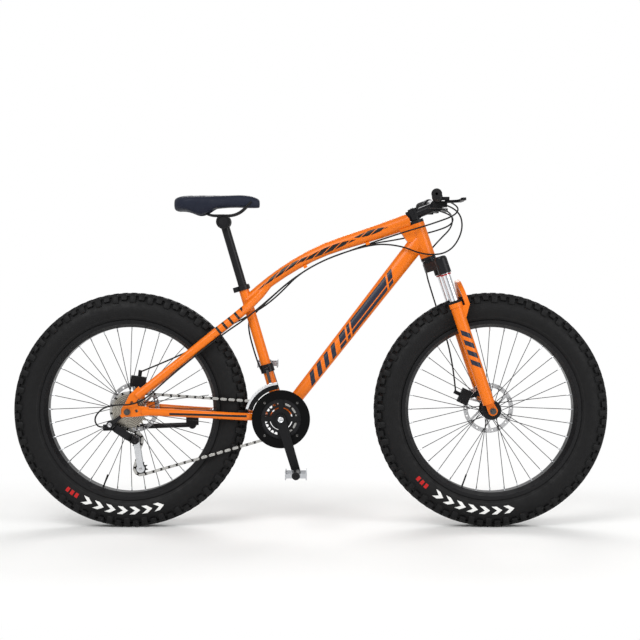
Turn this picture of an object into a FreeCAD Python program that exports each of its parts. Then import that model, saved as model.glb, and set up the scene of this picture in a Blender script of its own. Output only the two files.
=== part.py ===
import FreeCAD, Part
import math
import os

# All lengths in millimetres, angles in degrees.
# +X forward, +Y to the rider's left, +Z up, origin on the ground midway between the axles.

# Shared fits
RUN_FIT = 0.05
GAP = 0.5
OVERRUN = 400.0
ROUND_SIDES = 8
TUBE_STEPS = 2

# Wheels
WHEELBASE = 1138.0
WHEEL_R = 370.0
TYRE_W = 98.0
TYRE_WALL = 4.0
TYRE_LUG_H = 6.0
TYRE_PITCHES = 32
RIM_R = 283.0
RIM_DEPTH = 22.0
RIM_W = 80.0
RIM_WALL = 3.0
BEAD_W = 70.0
SPOKES = 36
SPOKE_R = 1.1
SPOKE_CROSS = 2.6
VALVE_R = 2.6
VALVE_L = 40.0
TYRE_SHARES = [(0.0, 0.73), (0.42, 0.97), (0.83, 0.70), (1.0, 0.0)]
LUG_SHARES = [[(0.52, 0.88), (0.60, 1.0), (0.94, 0.76), (0.80, 0.60)],
              [(0.52, -0.88), (0.60, -1.0), (0.94, -0.76), (0.80, -0.60)],
              [(0.90, 0.30), (1.0, 0.27), (1.0, -0.27), (0.90, -0.30)]]
LUG_TURN_SHARE = 0.62
LUG_EDGE_SHARE = 0.02
RIM_FLAT_SHARE = 0.6
VALVE_TURN = -110.0
SPOKE_STAGGER = 1.2
SPOKE_RIM_Y = 6.0
REAR_CONE_L = 4.0
REAR_SPIGOT_L = 6.0
ROTOR_BORE_R = 14.0

# Hubs, axles and rotors
AXLE_R = 5.0
AXLE_NUT_R = 10.0
AXLE_NUT_L = 9.0
AXLE_STUB_L = 8.0
CONE_R = 8.0
HUB_R = 17.0
FLANGE_R = 31.0
FLANGE_T = 4.0
SPOKE_CIRCLE_R = 27.0
FRONT_OLD = 135.0
FRONT_HUB_W = 100.0
FRONT_FLANGES = 76.0
FRONT_ROTOR_Y = 46.0
REAR_OLD = 190.0
REAR_FLANGES = 84.0
REAR_ROTOR_Y = 70.0
ROTOR_R = 80.0
ROTOR_BAND = 14.0
ROTOR_T = 2.0
ROTOR_HUB_R = 26.0
ROTOR_BOSS_R = 22.0
ROTOR_ARMS = 6
ROTOR_ARM_W = 7.0
ROTOR_HOLE_R = 3.0
ROTOR_HOLES = 18
ROTOR_LEAN = 35.0

# Steering and fork, measured along and ahead of the steering axis
HEAD_ANGLE = 71.5
FORK_L = 511.0
FORK_OFFSET = 34.0
CUP_H = 10.0
CUP_INSERT = 14.0
HEAD_L = 112.0
HEAD_R = 24.0
HEAD_BORE_R = 19.0
STEERER_R = 14.3
LEG_AHEAD = 29.0
LEG_Y = 76.0
LEG_R = 19.0
LEG_COLLAR_R = 21.0
LEG_COLLAR_H = 14.0
LEG_BELOW_TYRE = 13.0
LEG_BOTTOM = 26.0
LEG_FLOOR = 96.0
STANCHION_R = 14.0
STANCHION_BOTTOM = 175.0
CROWN_SOCKET_H = 48.0
CROWN_BRIDGE_H = 29.0
CROWN_RACE_H = 8.0
CROWN_SOCKET_R = 20.0
CROWN_BACK = 22.0
CROWN_FRONT = 40.0
CROWN_LID = 6.0
CROWN_WAIST_SHARE = 0.9
ARCH_AHEAD = 42.0
ARCH_RISE = 56.0
ARCH_HALF_T = 7.0
ARCH_LOW = 40.0
ARCH_OUTER_SHARES = [(1.12, -0.95), (1.12, -0.1), (0.92, 0.5), (0.5, 1.0), (0, 1.16)]
ARCH_INNER_SHARES = [(0.88, -0.95), (0.86, -0.2), (0.72, 0.26), (0.4, 0.62), (0, 0.76)]
FORK_TIP_T = 8.0
FORK_TIP_R = 15.0
FORK_TIP_W = 22.0

# Stem, bar and controls
STEM_BOTTOM_GAP = 2.0
STEM_CLAMP_H = 32.0
STEM_CLAMP_R = 19.0
STEM_EAR = 23.0
STEM_EAR_W = 22.0
STEM_EAR_BACK = 6.0
STEM_CAP_T = 5.0
STEM_REACH = 76.0
STEM_RISE = 5.0
STEM_HALF_W = 17.0
STEM_HALF_H = 15.0
BAR_CLAMP_R = 20.0
BAR_CLAMP_W = 44.0
BAR_MID_R = 15.9
BAR_MID_W = 70.0
BAR_R = 11.1
BAR_BORE_R = 9.0
BAR_HALF_W = 330.0
BAR_BEND_Y = 60.0
BAR_BEND_OUT_Y = 120.0
BAR_RISE = 16.0
BAR_SWEEP = 26.0
BAR_SWEEP_SHARE = 0.2
GRIP_L = 128.0
GRIP_R = 16.0
GRIP_END_T = 4.0
PERCH_W = 14.0
PERCH_R = 16.5
PERCH_GAP = 5.0
LEVER_AHEAD = 30.0
LEVER_DROP = 10.0
LEVER_PIVOT_R = 7.0
LEVER_PIN_R = 3.0
LEVER_HALF_T = 4.0
LEVER_L = 132.0
LEVER_REACH = 46.0
LEVER_SHARES = [(-0.05, -0.15), (0.06, -0.12), (0.22, 0.62), (0.5, 0.84), (0.86, 0.90),
                (0.98, 1.02), (1.0, 1.22),
                (0.93, 1.24), (0.84, 1.14), (0.48, 1.08), (0.16, 0.92), (-0.05, 0.2)]
POD_W = 30.0
POD_H = 18.0
POD_D = 44.0
POD_R = 16.5
POD_AHEAD = 8.0
THUMB_PIN_R = 4.0
THUMB_T = 4.0
THUMB_L = 40.0
THUMB_W = 13.0
THUMB_OUT_SHARE = 0.5
THUMB_BACK_SHARE = 0.85

# Frame
BB_X = -93.0
BB_Z = 345.0
BB_R = 20.0
BB_BORE_R = 17.0
BB_W = 100.0
BB_CUP_L = 24.0
BB_CUP_FLANGE = 4.0
SEAT_ANGLE = 16.5
SEAT_L = 436.0
SEAT_R = 16.0
SEAT_FLOOR = 40.0
SEAT_SLOT_W = 3.0
SEAT_SLOT_L = 34.0
TUBE_WALL = 2.0
TOP_HEAD_RISE = 16.0
TOP_SEAT_UP = 386.0
TOP_ARCH_SHARES = [(0.16, 0.038), (0.32, 0.060), (0.5, 0.062), (0.7, 0.036), (0.88, 0.012)]
TOP_HALF_W = 19.0
TOP_FRONT_HALF_H = 25.0
TOP_REAR_HALF_H = 15.0
DOWN_HEAD_UP = 64.0
DOWN_HALF_W = 20.0
DOWN_FRONT_HALF_H = 28.0
DOWN_REAR_HALF_H = 19.0
GUSSET_W = 34.0
GUSSET_BACK = 60.0
GUSSET_LOW_BACK = 45.0
GUSSET_LOW = 62.0
GUSSET_HIGH = 110.0
HEAD_CLEAR = 2.5
STAY_CLEAR_Y = 67.0
CHAINSTAY_HALF_W = 10.0
CHAINSTAY_HALF_H = 11.5
CHAINSTAY_RISE = 3.0
CHAINSTAY_SHARES = [(0.09, 0.0), (0.3, 0.7), (0.55, 1.0), (0.68, 1.0)]
CHAINSTAY_IN_SHARES = [(0.80, 0.84), (0.87, 0.66), (1.0, 0.57)]
SEATSTAY_HALF_W = 10.0
SEATSTAY_HALF_H = 13.0
SEATSTAY_UP = 48.0
SEATSTAY_AHEAD = 29.0
SEATSTAY_PASS_UP = 367.0
SEATSTAY_SIDE_GAP = 1.0
SEATSTAY_SHARES = [(0.25, 0.5), (0.5, 1.0), (0.72, 1.0)]
SEATSTAY_END_Y = 6.0
DROPOUT_T = 7.0
DROPOUT_SIZE = 46.0
DROPOUT_SHARES = [(-0.40, -0.34), (-0.40, 0.20), (-0.16, 0.56), (0.14, 1.16), (0.74, 1.72), (1.10, 1.36),
                  (0.62, 0.72), (0.70, 0.40), (1.44, 0.34), (1.44, -0.22), (0.42, -0.34)]
DROPOUT_HOLE_R = 5.0
DROPOUT_HOLE_SHARES = [(0.30, 0.62), (0.62, 0.06)]
HANGER_R = 11.0
HANGER_BACK = 54.0
HANGER_DROP = 40.0

# Seat and kickstand
CLAMP_H = 16.0
CLAMP_R = 20.0
CLAMP_EAR = 12.0
CLAMP_EAR_W = 13.0
CLAMP_BOLT_R = 3.0
CLAMP_NUT_R = 6.0
CLAMP_NUT_L = 6.0
QR_L = 46.0
QR_W = 12.0
QR_T = 6.0
QR_Y = 25.0
QR_PIN_R = 2.0
POST_R = 13.6
POST_WALL = 2.5
POST_L = 350.0
POST_OUT = 210.0
POST_HEAD_R = 17.0
POST_HEAD_W = 48.0
SADDLE_L = 269.0
SADDLE_W = 160.0
SADDLE_TOP = 1048.0
SADDLE_AHEAD_SHARE = 0.425
SADDLE_WIDTH_SHARES = [(0.0, 0.34), (0.06, 0.78), (0.2, 1.0), (0.42, 0.74), (0.66, 0.40),
                       (0.9, 0.27), (1.0, 0.13)]
SADDLE_TOP_SHARES = [-0.30, -0.10, -0.02, -0.13, -0.13, -0.20, -0.42]
SADDLE_DEEP_SHARES = [0.62, 1.0, 0.98, 0.80, 0.70, 0.66, 0.42]
SADDLE_H = 46.0
SADDLE_OUTLINE_SHARES = [(0, 0), (0.42, -0.03), (0.78, -0.14), (0.97, -0.40), (0.94, -0.72),
                         (0.62, -0.96), (0, -1.0)]
RAIL_R = 3.5
RAIL_Y = 22.0
RAIL_SPAN_SHARES = [(-0.36, 1.0), (-0.20, 0), (0.16, 0), (0.33, 1.0)]
RAIL_CLIMB = 44.0
CRADLE_R = 23.0
CRADLE_W = 12.0
KICK_ALONG_SHARE = 0.33
KICK_OUT = 24.0
KICK_DROP = 50.0
KICK_W = 40.0
KICK_T = 8.0
KICK_PIVOT_R = 12.0
KICK_PIN_R = 5.0
KICK_LEG_R = 8.0
KICK_BARREL_W = 20.0
KICK_L = 290.0
KICK_FOOT_R = 10.5
KICK_FOOT_L = 34.0
KICK_TILT = 2.0

# Drivetrain
PITCH = 12.7
ROLLER_R = 3.87
CHAIN_INNER_W = 2.5
PLATE_T = 0.9
PLATE_GAP = 0.1
PLATE_H = 8.2
PLATE_SHARES = [(-0.82, 0), (-0.62, -0.5), (0.62, -0.5), (0.82, 0), (0.62, 0.5), (-0.62, 0.5)]
STEP_LOW_SHARE = 0.9
STEP_HIGH_SHARE = 1.3
HALVINGS = 40
TOOTH_ROOT = 4.3
TOOTH_TIP = 3.6
TOOTH_ROOT_HALF = 3.1
PULLEY_TIP = 2.4
TOOTH_TIP_HALF = 0.8
CHAIN_Y = -58.0
COGS = [28, 24, 22, 20, 18, 16, 14]
COG_STEP = 4.8
COG_T = 2.0
COG_SPACER_R = 21.0
RINGS = [24, 34, 42]
RING_STEP = 7.5
RING_T = 2.5
RING_BORE_SHARE = 0.74
GUARD_R = 91.0
GUARD_T = 3.0
GUARD_BORE_R = 64.0
SPIDER_R = 66.0
SPIDER_ARMS = 4
SPIDER_ARM_W = 16.0
SPIDER_HUB_SHARE = 0.5
SPIDER_POST_R = 3.5
BOSS_GAP = 2.0
SPINDLE_R = 8.5
CRANK_L = 170.0
CRANK_TURN = 16.6
CRANK_T = 15.0
CRANK_EYE_R = 16.0
CRANK_END_R = 13.0
CRANK_OUT = 82.0
PEDAL_W = 92.0
PEDAL_L = 66.0
PEDAL_H = 24.0
PEDAL_AXLE_R = 6.0
PEDAL_BODY_R = 12.0
PEDAL_CAGE_T = 3.0
PEDAL_BAR_SHARE = 0.55
PEDAL_GAP = 2.0
PULLEY_TEETH = 10
PULLEY_T = 2.2
PULLEY_BORE_R = 3.0
UPPER_PULLEY_AHEAD = 22.0
UPPER_PULLEY_DROP = 90.0
CAGE_L = 92.0
CAGE_SWING = 5.0
CAGE_SWING_RANGE = 30.0
CAGE_T = 2.0
CAGE_GAP = 5.5
CAGE_HALF_W = 10.0
CAGE_EYE_R = 13.0
CAGE_PIN_R = 4.0
CAGE_PIN_L = 14.0
LINK_T = 9.0
LINK_H = 15.0
LINK_OUTER_Y = -90.5
LINK_INNER_Y = -74.5
LINK_PIN_R = 2.5
LINK_INSET = 18.0
PRONG_T = 4.0
KNUCKLE_R = 12.0
BOLT_HEAD_T = 4.0
BOLT_HEAD_SHARE = 0.7
FD_UP = 162.0
FD_BODY_R = 22.0
FD_BODY_H = 26.0
FD_PIVOT_OUT = 34.0
FD_LUG_OUT = 28.0
FD_PIN_R = 3.0
FD_EYE_R = 7.0
FD_EYE_L = 12.0
FD_CHEEK_T = 3.0
FD_CHEEK_SHARE = 0.5
FD_CAGE_T = 2.0
FD_CAGE_GAP = 13.0
FD_CAGE_H = 22.0
FD_CAGE_CLEAR = 2.0
FD_CAGE_FROM = 96.0
FD_CAGE_TO = 164.0
FD_BRIDGE_TURN = 22.0
FD_TAIL_TURN = 5.0

# Brakes and cables
CALIPER_R = 84.0
CALIPER_HALF_L = 24.0
CALIPER_HALF_H = 17.0
CALIPER_W = 24.0
CALIPER_IN = 9.0
CALIPER_TAB_T = 6.0
CALIPER_TAB_H = 26.0
CALIPER_EYE_SHARE = 1.7
REAR_TAB_AHEAD = 7.0
REAR_TAB_UP = 54.0
REAR_TAB_L = 14.0
REAR_TAB_H = 34.0
ROTOR_CLEAR = 1.0
FRONT_CALIPER_TURN = 44.0
REAR_CALIPER_TURN = 82.0
CALIPER_ARM_T = 4.0
CALIPER_ARM_L = 36.0
CALIPER_ARM_W = 12.0
CALIPER_PIN_R = 5.0
CABLE_R = 2.5
CABLE_BEND_SHARE = 0.45
CABLE_LIFT = 1.5
CABLE_SIDE = 11.0
CABLE_SPAN = 100.0
CABLE_SPREAD = 8.0
CABLE_PASS = 30.0
GUIDE_STEP_SHARE = 0.02
GUIDE_SHARES = [0.72, 0.36]
GUIDE_W = 30.0
GUIDE_H = 9.0
GUIDE_L = 12.0
SHIFT_LOOP_SHARES = [(0.62, -0.75, -0.10), (0.84, -0.44, -0.75), (0.42, -0.37, -1.50),
                     (-0.40, -0.36, -1.58), (-1.2, -0.28, -1.24)]
BRAKE_LOOP_SHARES = [(0.60, -1.02, -0.02), (0.62, -0.60, -0.30), (-0.08, -0.40, -0.56), (-1.1, -0.32, -0.86)]
CLUTCH_LOOP_SHARES = [(0.58, 0.80, -0.20), (0.60, 0.52, -0.55), (-0.02, 0.36, -0.80), (-1.2, 0.24, -1.06)]
FRONT_LOOP_SHARES = [(0.56, 1.10, -0.05), (0.62, 0.70, -0.60), (0.10, 0.52, -1.10), (-0.40, 0.72, -1.70)]
BRAKE_PASS_SHARES = [(0.77, 0.34, 0.18), (-0.03, 0.70, -0.32)]
BRAKE_STAY_SHARE = 1.4
TAIL_LOOP_SHARES = [(0.40, -1.17, 0.22), (-0.62, -1.16, 0.24), (-1.06, -1.08, -0.18), (-0.86, -0.98, -0.56)]

V = FreeCAD.Vector
LEFT = V(0, 1, 0)
UPWARD = V(0, 0, 1)
FORWARD = V(1, 0, 0)
FULL_TURN = 360.0
QUARTER = 90.0


def polar(degrees, r, y):
    a = math.radians(degrees)
    return V(r * math.cos(a), y, r * math.sin(a))


def lean(degrees):
    a = math.radians(degrees)
    return V(-math.sin(a), 0, math.cos(a)), V(math.cos(a), 0, math.sin(a))


STEER_UP, STEER_FWD = lean(QUARTER - HEAD_ANGLE)
SEAT_UP, SEAT_FWD = lean(SEAT_ANGLE)
FRONT_AXLE = V(WHEELBASE / 2, 0, WHEEL_R)
REAR_AXLE = V(-WHEELBASE / 2, 0, WHEEL_R)
BB = V(BB_X, 0, BB_Z)
HEAD_LOW = FORK_L + CUP_H
HEAD_HIGH = HEAD_LOW + HEAD_L
CUP_HIGH = HEAD_HIGH + CUP_H
CROWN_TOP = FORK_L - CROWN_RACE_H
LEG_TOP = WHEEL_R - LEG_BELOW_TYRE


def steer(ahead, y, up):
    """A point ahead of the steering axis, to the left, and up from the front axle."""
    return FRONT_AXLE + STEER_FWD * (ahead - FORK_OFFSET) + LEFT * y + STEER_UP * up


def seat(ahead, y, up):
    """A point ahead of the seat tube's axis, to the left, and up from the bottom bracket."""
    return BB + SEAT_FWD * ahead + LEFT * y + SEAT_UP * up


def cyl(r, a, b):
    return Part.makeCylinder(r, (b - a).Length, a, b - a)


def across(r, centre, y0, y1):
    """A cylinder along Y."""
    return cyl(r, centre + LEFT * y0, centre + LEFT * y1)


def slab(points, out):
    return Part.Face(Part.makePolygon(points + points[:1])).extrude(out)


def block(centre, along, side, high, length, width, height):
    a = along * (length / 2)
    h = high * (height / 2)
    base = centre - side * (width / 2)
    return slab([base - a - h, base + a - h, base + a + h, base - a + h], side * width)


def fuse(first, *rest):
    return first.fuse(list(rest)).removeSplitter()


def group(shapes):
    solids = []
    for shape in shapes:
        solids.extend(shape.Solids)
    return Part.makeCompound(solids)


def mirrored(shape):
    return shape.mirror(V(0, 0, 0), LEFT)


def section(centre, along, half_w, half_h):
    side = LEFT - along * along.dot(LEFT)
    side.normalize()
    high = along.cross(side)
    points = []
    for i in range(ROUND_SIDES):
        a = math.radians(FULL_TURN * i / ROUND_SIDES)
        points.append(centre + side * (half_w * math.cos(a)) + high * (half_h * math.sin(a)))
    curve = Part.BSplineCurve()
    curve.interpolate(Points=points, PeriodicFlag=True)
    return Part.Wire(curve.toShape())


def tube(points, half_ws, half_hs, inset=0):
    """A loft of rounded sections square to a smooth line through the points."""
    line = Part.BSplineCurve()
    line.interpolate(points)
    stops = [line.parameter(point) for point in points]
    wires = []
    for i in range(len(points) - 1):
        for step in range(TUBE_STEPS):
            share = step / TUBE_STEPS
            at = stops[i] + (stops[i + 1] - stops[i]) * share
            w = half_ws[i] + (half_ws[i + 1] - half_ws[i]) * share
            h = half_hs[i] + (half_hs[i + 1] - half_hs[i]) * share
            wires.append(section(line.value(at), V(line.tangent(at)[0]), w - inset, h - inset))
    end = V(line.tangent(stops[-1])[0])
    wires.append(section(points[-1], end, half_ws[-1] - inset, half_hs[-1] - inset))
    return Part.makeLoft(wires, True, True)


def hollow(points, half_ws, half_hs):
    return tube(points, half_ws, half_hs).cut(tube(points, half_ws, half_hs, TUBE_WALL))


def rounded_wire(points):
    edges = []
    start = points[0]
    for before, here, after in zip(points, points[1:], points[2:]):
        back = before - here
        ahead = after - here
        run = CABLE_BEND_SHARE * min(back.Length, ahead.Length)
        half = back.getAngle(ahead) / 2
        back.normalize()
        ahead.normalize()
        inward = back + ahead
        inward.normalize()
        middle = here + inward * (run / math.cos(half) - run * math.tan(half))
        edges.append(Part.LineSegment(start, here + back * run).toShape())
        edges.append(Part.Arc(here + back * run, middle, here + ahead * run).toShape())
        start = here + ahead * run
    edges.append(Part.LineSegment(start, points[-1]).toShape())
    return Part.Wire(edges)


def rod(points, r):
    profile = Part.Wire(Part.Circle(points[0], points[1] - points[0], r).toShape())
    return rounded_wire(points).makePipeShell([profile], True, False)


def turned(points, centre):
    """A full turn about the wheel axis of an outline given as (across, radius)."""
    outline = [centre + V(0, y, r) for y, r in points]
    face = Part.Face(Part.makePolygon(outline + outline[:1]))
    return face.revolve(centre, LEFT, FULL_TURN)


def both_ways(outline):
    return outline + [(-y, r) for y, r in reversed(outline)]


def arc_chain(points):
    """Edges of a tyre outline: sidewall arc, crown arc, sidewall arc."""
    low, wide, shoulder, crown = points
    flip = [V(p.x, -p.y, p.z) for p in points]
    return [Part.Arc(low, wide, shoulder).toShape(), Part.Arc(shoulder, crown, flip[2]).toShape(),
            Part.Arc(flip[2], flip[1], flip[0]).toShape()]


def tyre_point(height, width, height_share, width_share):
    return V(0, width / 2 * width_share, RIM_R + height * height_share)


def tyre(centre):
    casing_h = WHEEL_R - TYRE_LUG_H - RIM_R
    outer = [tyre_point(casing_h, TYRE_W, h, w) for h, w in TYRE_SHARES]
    inner_h = casing_h - TYRE_WALL
    inner = [tyre_point(inner_h, TYRE_W - 2 * TYRE_WALL, h, w) for h, w in TYRE_SHARES]
    left_bead = Part.LineSegment(outer[0], inner[0]).toShape()
    right_bead = Part.LineSegment(V(0, -outer[0].y, outer[0].z), V(0, -inner[0].y, inner[0].z)).toShape()
    edges = arc_chain(outer) + arc_chain(inner) + [left_bead, right_bead]
    casing = Part.Face(Part.Wire(Part.__sortEdges__(edges)))
    pitch = FULL_TURN / TYRE_PITCHES
    sector = casing.revolve(V(0, 0, 0), LEFT, pitch)
    lugs = []
    for shares in LUG_SHARES:
        outline = [tyre_point(WHEEL_R - RIM_R, TYRE_W, h, w) for h, w in shares]
        lug = Part.Face(Part.makePolygon(outline + outline[:1]))
        lug.rotate(V(0, 0, 0), LEFT, pitch * (1 - LUG_TURN_SHARE) / 2)
        lugs.append(lug.revolve(V(0, 0, 0), LEFT, pitch * LUG_TURN_SHARE))
    sector = sector.fuse(lugs)
    skin = []
    for face in sector.Faces:
        turn = math.degrees(math.atan2(face.CenterOfMass.x, face.CenterOfMass.z))
        if pitch * LUG_EDGE_SHARE < turn < pitch * (1 - LUG_EDGE_SHARE):
            skin.append(face)
    faces = []
    for i in range(TYRE_PITCHES):
        for face in skin:
            copy = face.copy()
            copy.rotate(V(0, 0, 0), LEFT, pitch * i)
            copy.translate(centre)
            faces.append(copy)
    shell = Part.Shell(faces)
    shell.sewShape()
    return Part.Solid(shell)


def rim(centre):
    half = RIM_W / 2
    low = RIM_R - RIM_DEPTH
    bead = BEAD_W / 2
    outline = [(half, RIM_R), (half, low + RIM_DEPTH / 2), (bead * RIM_FLAT_SHARE, low)]
    well = [(-half + RIM_WALL, RIM_R), (-half + RIM_WALL, low + RIM_DEPTH / 2),
            (-bead * RIM_FLAT_SHARE, low + RIM_WALL)]
    hoop = turned(both_ways(outline) + both_ways(well), centre)
    stem = cyl(VALVE_R, centre + polar(VALVE_TURN, low - VALVE_L, 0),
               centre + polar(VALVE_TURN, low + RIM_WALL / 2, 0))
    return group([hoop, largest(stem.cut(hoop))])


def spokes(centre, flanges, hub, hoop):
    rods = []
    for i in range(SPOKES):
        side = 1 if i % 2 else -1
        lead = 1 if i % 4 < 2 else -1
        a = FULL_TURN * i / SPOKES
        step = FULL_TURN / SPOKES
        y = side * (flanges / 2 + lead * SPOKE_STAGGER)
        foot = centre + polar(a + lead * SPOKE_CROSS * step, SPOKE_CIRCLE_R, y)
        top = centre + polar(a, RIM_R - RIM_DEPTH + RIM_WALL / 2, side * SPOKE_RIM_Y)
        rods.append(largest(cyl(SPOKE_R, foot, top).cut(hub).cut(hoop)))
    return group(rods)


def rotor(centre, y):
    base = centre + LEFT * y
    band = across(ROTOR_R, base, 0, ROTOR_T).cut(across(ROTOR_R - ROTOR_BAND, base, 0, ROTOR_T))
    hub = across(ROTOR_HUB_R, base, 0, ROTOR_T)
    arms = []
    for i in range(ROTOR_ARMS):
        a = FULL_TURN * i / ROTOR_ARMS
        foot = polar(a, ROTOR_HUB_R - ROTOR_ARM_W, 0)
        top = polar(a + ROTOR_LEAN, ROTOR_R - ROTOR_BAND / 2, 0)
        along = top - foot
        length = along.Length
        along.normalize()
        middle = base + (foot + top) / 2 + LEFT * (ROTOR_T / 2)
        arms.append(block(middle, along, LEFT, along.cross(LEFT), length, ROTOR_T, ROTOR_ARM_W))
    disc = fuse(band, hub, *arms)
    for i in range(ROTOR_HOLES):
        a = FULL_TURN * i / ROTOR_HOLES
        spot = base + polar(a, ROTOR_R - ROTOR_BAND / 2, 0)
        disc = disc.cut(across(ROTOR_HOLE_R, spot, 0, ROTOR_T))
    return disc.cut(across(ROTOR_BORE_R, base, 0, ROTOR_T))


def hub_shell(flanges, right_end, left_end, rotor_y):
    c = V(0, 0, 0)
    half = flanges / 2
    barrel = across(HUB_R, c, right_end, rotor_y)
    right = across(FLANGE_R, c, -half - FLANGE_T / 2, -half + FLANGE_T / 2)
    left = across(FLANGE_R, c, half - FLANGE_T / 2, half + FLANGE_T / 2)
    boss = across(ROTOR_BOSS_R, c, half, rotor_y)
    spigot = across(ROTOR_BORE_R, c, rotor_y, left_end)
    return fuse(barrel, right, left, boss, spigot).cut(across(AXLE_R + RUN_FIT, c, right_end, left_end))


def front_hub():
    end = FRONT_HUB_W / 2
    hub = hub_shell(FRONT_FLANGES, -end, end, FRONT_ROTOR_Y)
    hub.translate(FRONT_AXLE)
    return hub


def rear_hub():
    hub = hub_shell(REAR_FLANGES, -REAR_OLD / 2 + REAR_CONE_L, REAR_ROTOR_Y + REAR_SPIGOT_L, REAR_ROTOR_Y)
    hub.translate(REAR_AXLE)
    return hub


def axle(centre, old, tip, cone_right, cone_left):
    """Axle with its cones inside the tips and its nuts outside them."""
    inner = old / 2
    outer = inner + tip
    end = outer + AXLE_NUT_L + AXLE_STUB_L
    pieces = [across(AXLE_R, centre, -end, end)]
    pieces.append(across(CONE_R, centre, -inner, -inner + cone_right))
    pieces.append(across(CONE_R, centre, inner - cone_left, inner))
    pieces.append(across(AXLE_NUT_R, centre, outer, outer + AXLE_NUT_L))
    pieces.append(across(AXLE_NUT_R, centre, -outer - AXLE_NUT_L, -outer))
    return fuse(*pieces)


def front_axle():
    cone = (FRONT_OLD - FRONT_HUB_W) / 2 - GAP
    return axle(FRONT_AXLE, FRONT_OLD, FORK_TIP_T, cone, cone)


def rear_axle():
    left = REAR_OLD / 2 - REAR_ROTOR_Y - REAR_SPIGOT_L - GAP
    return axle(REAR_AXLE, REAR_OLD, DROPOUT_T, REAR_CONE_L - GAP, left)


def between(a, b, share):
    return a + (b - a) * share


def top_points():
    rear = seat(0, 0, TOP_SEAT_UP)
    front = steer(0, 0, HEAD_HIGH + TOP_HEAD_RISE)
    chord = front - rear
    high = V(-chord.z, 0, chord.x)
    middle = [between(rear, front, along) + high * rise for along, rise in TOP_ARCH_SHARES]
    return [rear] + middle + [front]


TOP_POINTS = top_points()
TOP_SPREAD = [0] + [along for along, rise in TOP_ARCH_SHARES] + [1]
TOP_HALF_HS = [TOP_REAR_HALF_H + (TOP_FRONT_HALF_H - TOP_REAR_HALF_H) * s for s in TOP_SPREAD]
TOP_HALF_WS = [TOP_HALF_W for s in TOP_SPREAD]
DOWN_TOP = steer(0, 0, HEAD_LOW + DOWN_HEAD_UP)
DOWN_POINTS = [BB, between(BB, DOWN_TOP, 1 / 2), DOWN_TOP]
DOWN_HALF_HS = [DOWN_REAR_HALF_H, (DOWN_REAR_HALF_H + DOWN_FRONT_HALF_H) / 2, DOWN_FRONT_HALF_H]
DOWN_HALF_WS = [DOWN_HALF_W for point in DOWN_POINTS]
TOP_SOLID = tube(TOP_POINTS, TOP_HALF_WS, TOP_HALF_HS)
TOP_ROOM = tube(TOP_POINTS, [w + GAP for w in TOP_HALF_WS], [h + GAP for h in TOP_HALF_HS])
DOWN_SOLID = tube(DOWN_POINTS, DOWN_HALF_WS, DOWN_HALF_HS)
HEAD_SOLID = cyl(HEAD_R, steer(0, 0, HEAD_LOW), steer(0, 0, HEAD_HIGH))
BB_SOLID = across(BB_R, BB, -BB_W / 2, BB_W / 2)
SEAT_SOLID = cyl(SEAT_R, seat(0, 0, 0), seat(0, 0, SEAT_L))
DROPOUT_Y = (REAR_OLD + DROPOUT_T) / 2


def seatstay_points():
    """Centre line of the left seatstay, from the dropout past the seat tube into the top tube."""
    low = REAR_AXLE + V(SEATSTAY_AHEAD, DROPOUT_Y, SEATSTAY_UP)
    passing = seat(0, SEAT_R + SEATSTAY_HALF_W + SEATSTAY_SIDE_GAP, SEATSTAY_PASS_UP)
    points = [low]
    for along, inward in SEATSTAY_SHARES:
        point = between(low, passing, along)
        point.y = DROPOUT_Y + (STAY_CLEAR_Y - DROPOUT_Y) * inward
        points.append(point)
    return points + [passing, TOP_POINTS[1] + LEFT * SEATSTAY_END_Y]


def chainstay_points():
    """Centre line of the left chainstay, from the dropout to the bottom bracket."""
    low = REAR_AXLE + UPWARD * CHAINSTAY_RISE
    points = []
    for along, inward in CHAINSTAY_SHARES:
        point = between(low, BB, along)
        point.y = DROPOUT_Y + (STAY_CLEAR_Y - DROPOUT_Y) * inward
        points.append(point)
    for along, out in CHAINSTAY_IN_SHARES:
        point = between(low, BB, along)
        point.y = STAY_CLEAR_Y * out
        points.append(point)
    return points


SEATSTAY_POINTS = seatstay_points()
CHAINSTAY_POINTS = chainstay_points()


def head_tube():
    outline = [(0, GUSSET_LOW), (-GUSSET_LOW_BACK, GUSSET_LOW), (-GUSSET_BACK, GUSSET_HIGH), (0, GUSSET_HIGH)]
    points = [steer(ahead, -GUSSET_W / 2, HEAD_LOW + up) for ahead, up in outline]
    gusset = slab(points, LEFT * GUSSET_W).cut(TOP_SOLID).cut(DOWN_SOLID)
    bore = cyl(HEAD_BORE_R, steer(0, 0, HEAD_LOW), steer(0, 0, HEAD_HIGH))
    return fuse(HEAD_SOLID, gusset).cut(bore)


def top_tube():
    stem_room = cyl(HEAD_R + HEAD_CLEAR, steer(0, 0, HEAD_HIGH), steer(0, 0, HEAD_HIGH + OVERRUN))
    shape = hollow(TOP_POINTS, TOP_HALF_WS, TOP_HALF_HS)
    return largest(shape.cut(HEAD_SOLID).cut(SEAT_SOLID).cut(stem_room))


def down_tube():
    shape = hollow(DOWN_POINTS, DOWN_HALF_WS, DOWN_HALF_HS)
    return largest(shape.cut(HEAD_SOLID).cut(BB_SOLID).cut(SEAT_SOLID).cut(TOP_SOLID))


def largest(shape):
    return max(shape.Solids, key=lambda solid: solid.Volume)


def seat_tube():
    bore = cyl(POST_R + RUN_FIT, seat(0, 0, SEAT_FLOOR), seat(0, 0, SEAT_L))
    slot = block(seat(-SEAT_R, 0, SEAT_L - SEAT_SLOT_L / 2), SEAT_FWD, LEFT, SEAT_UP,
                 SEAT_R, SEAT_SLOT_W, SEAT_SLOT_L)
    shell_bore = across(BB_BORE_R, BB, -BB_W / 2, BB_W / 2)
    return fuse(SEAT_SOLID, BB_SOLID).cut(bore).cut(slot).cut(shell_bore)


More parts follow.
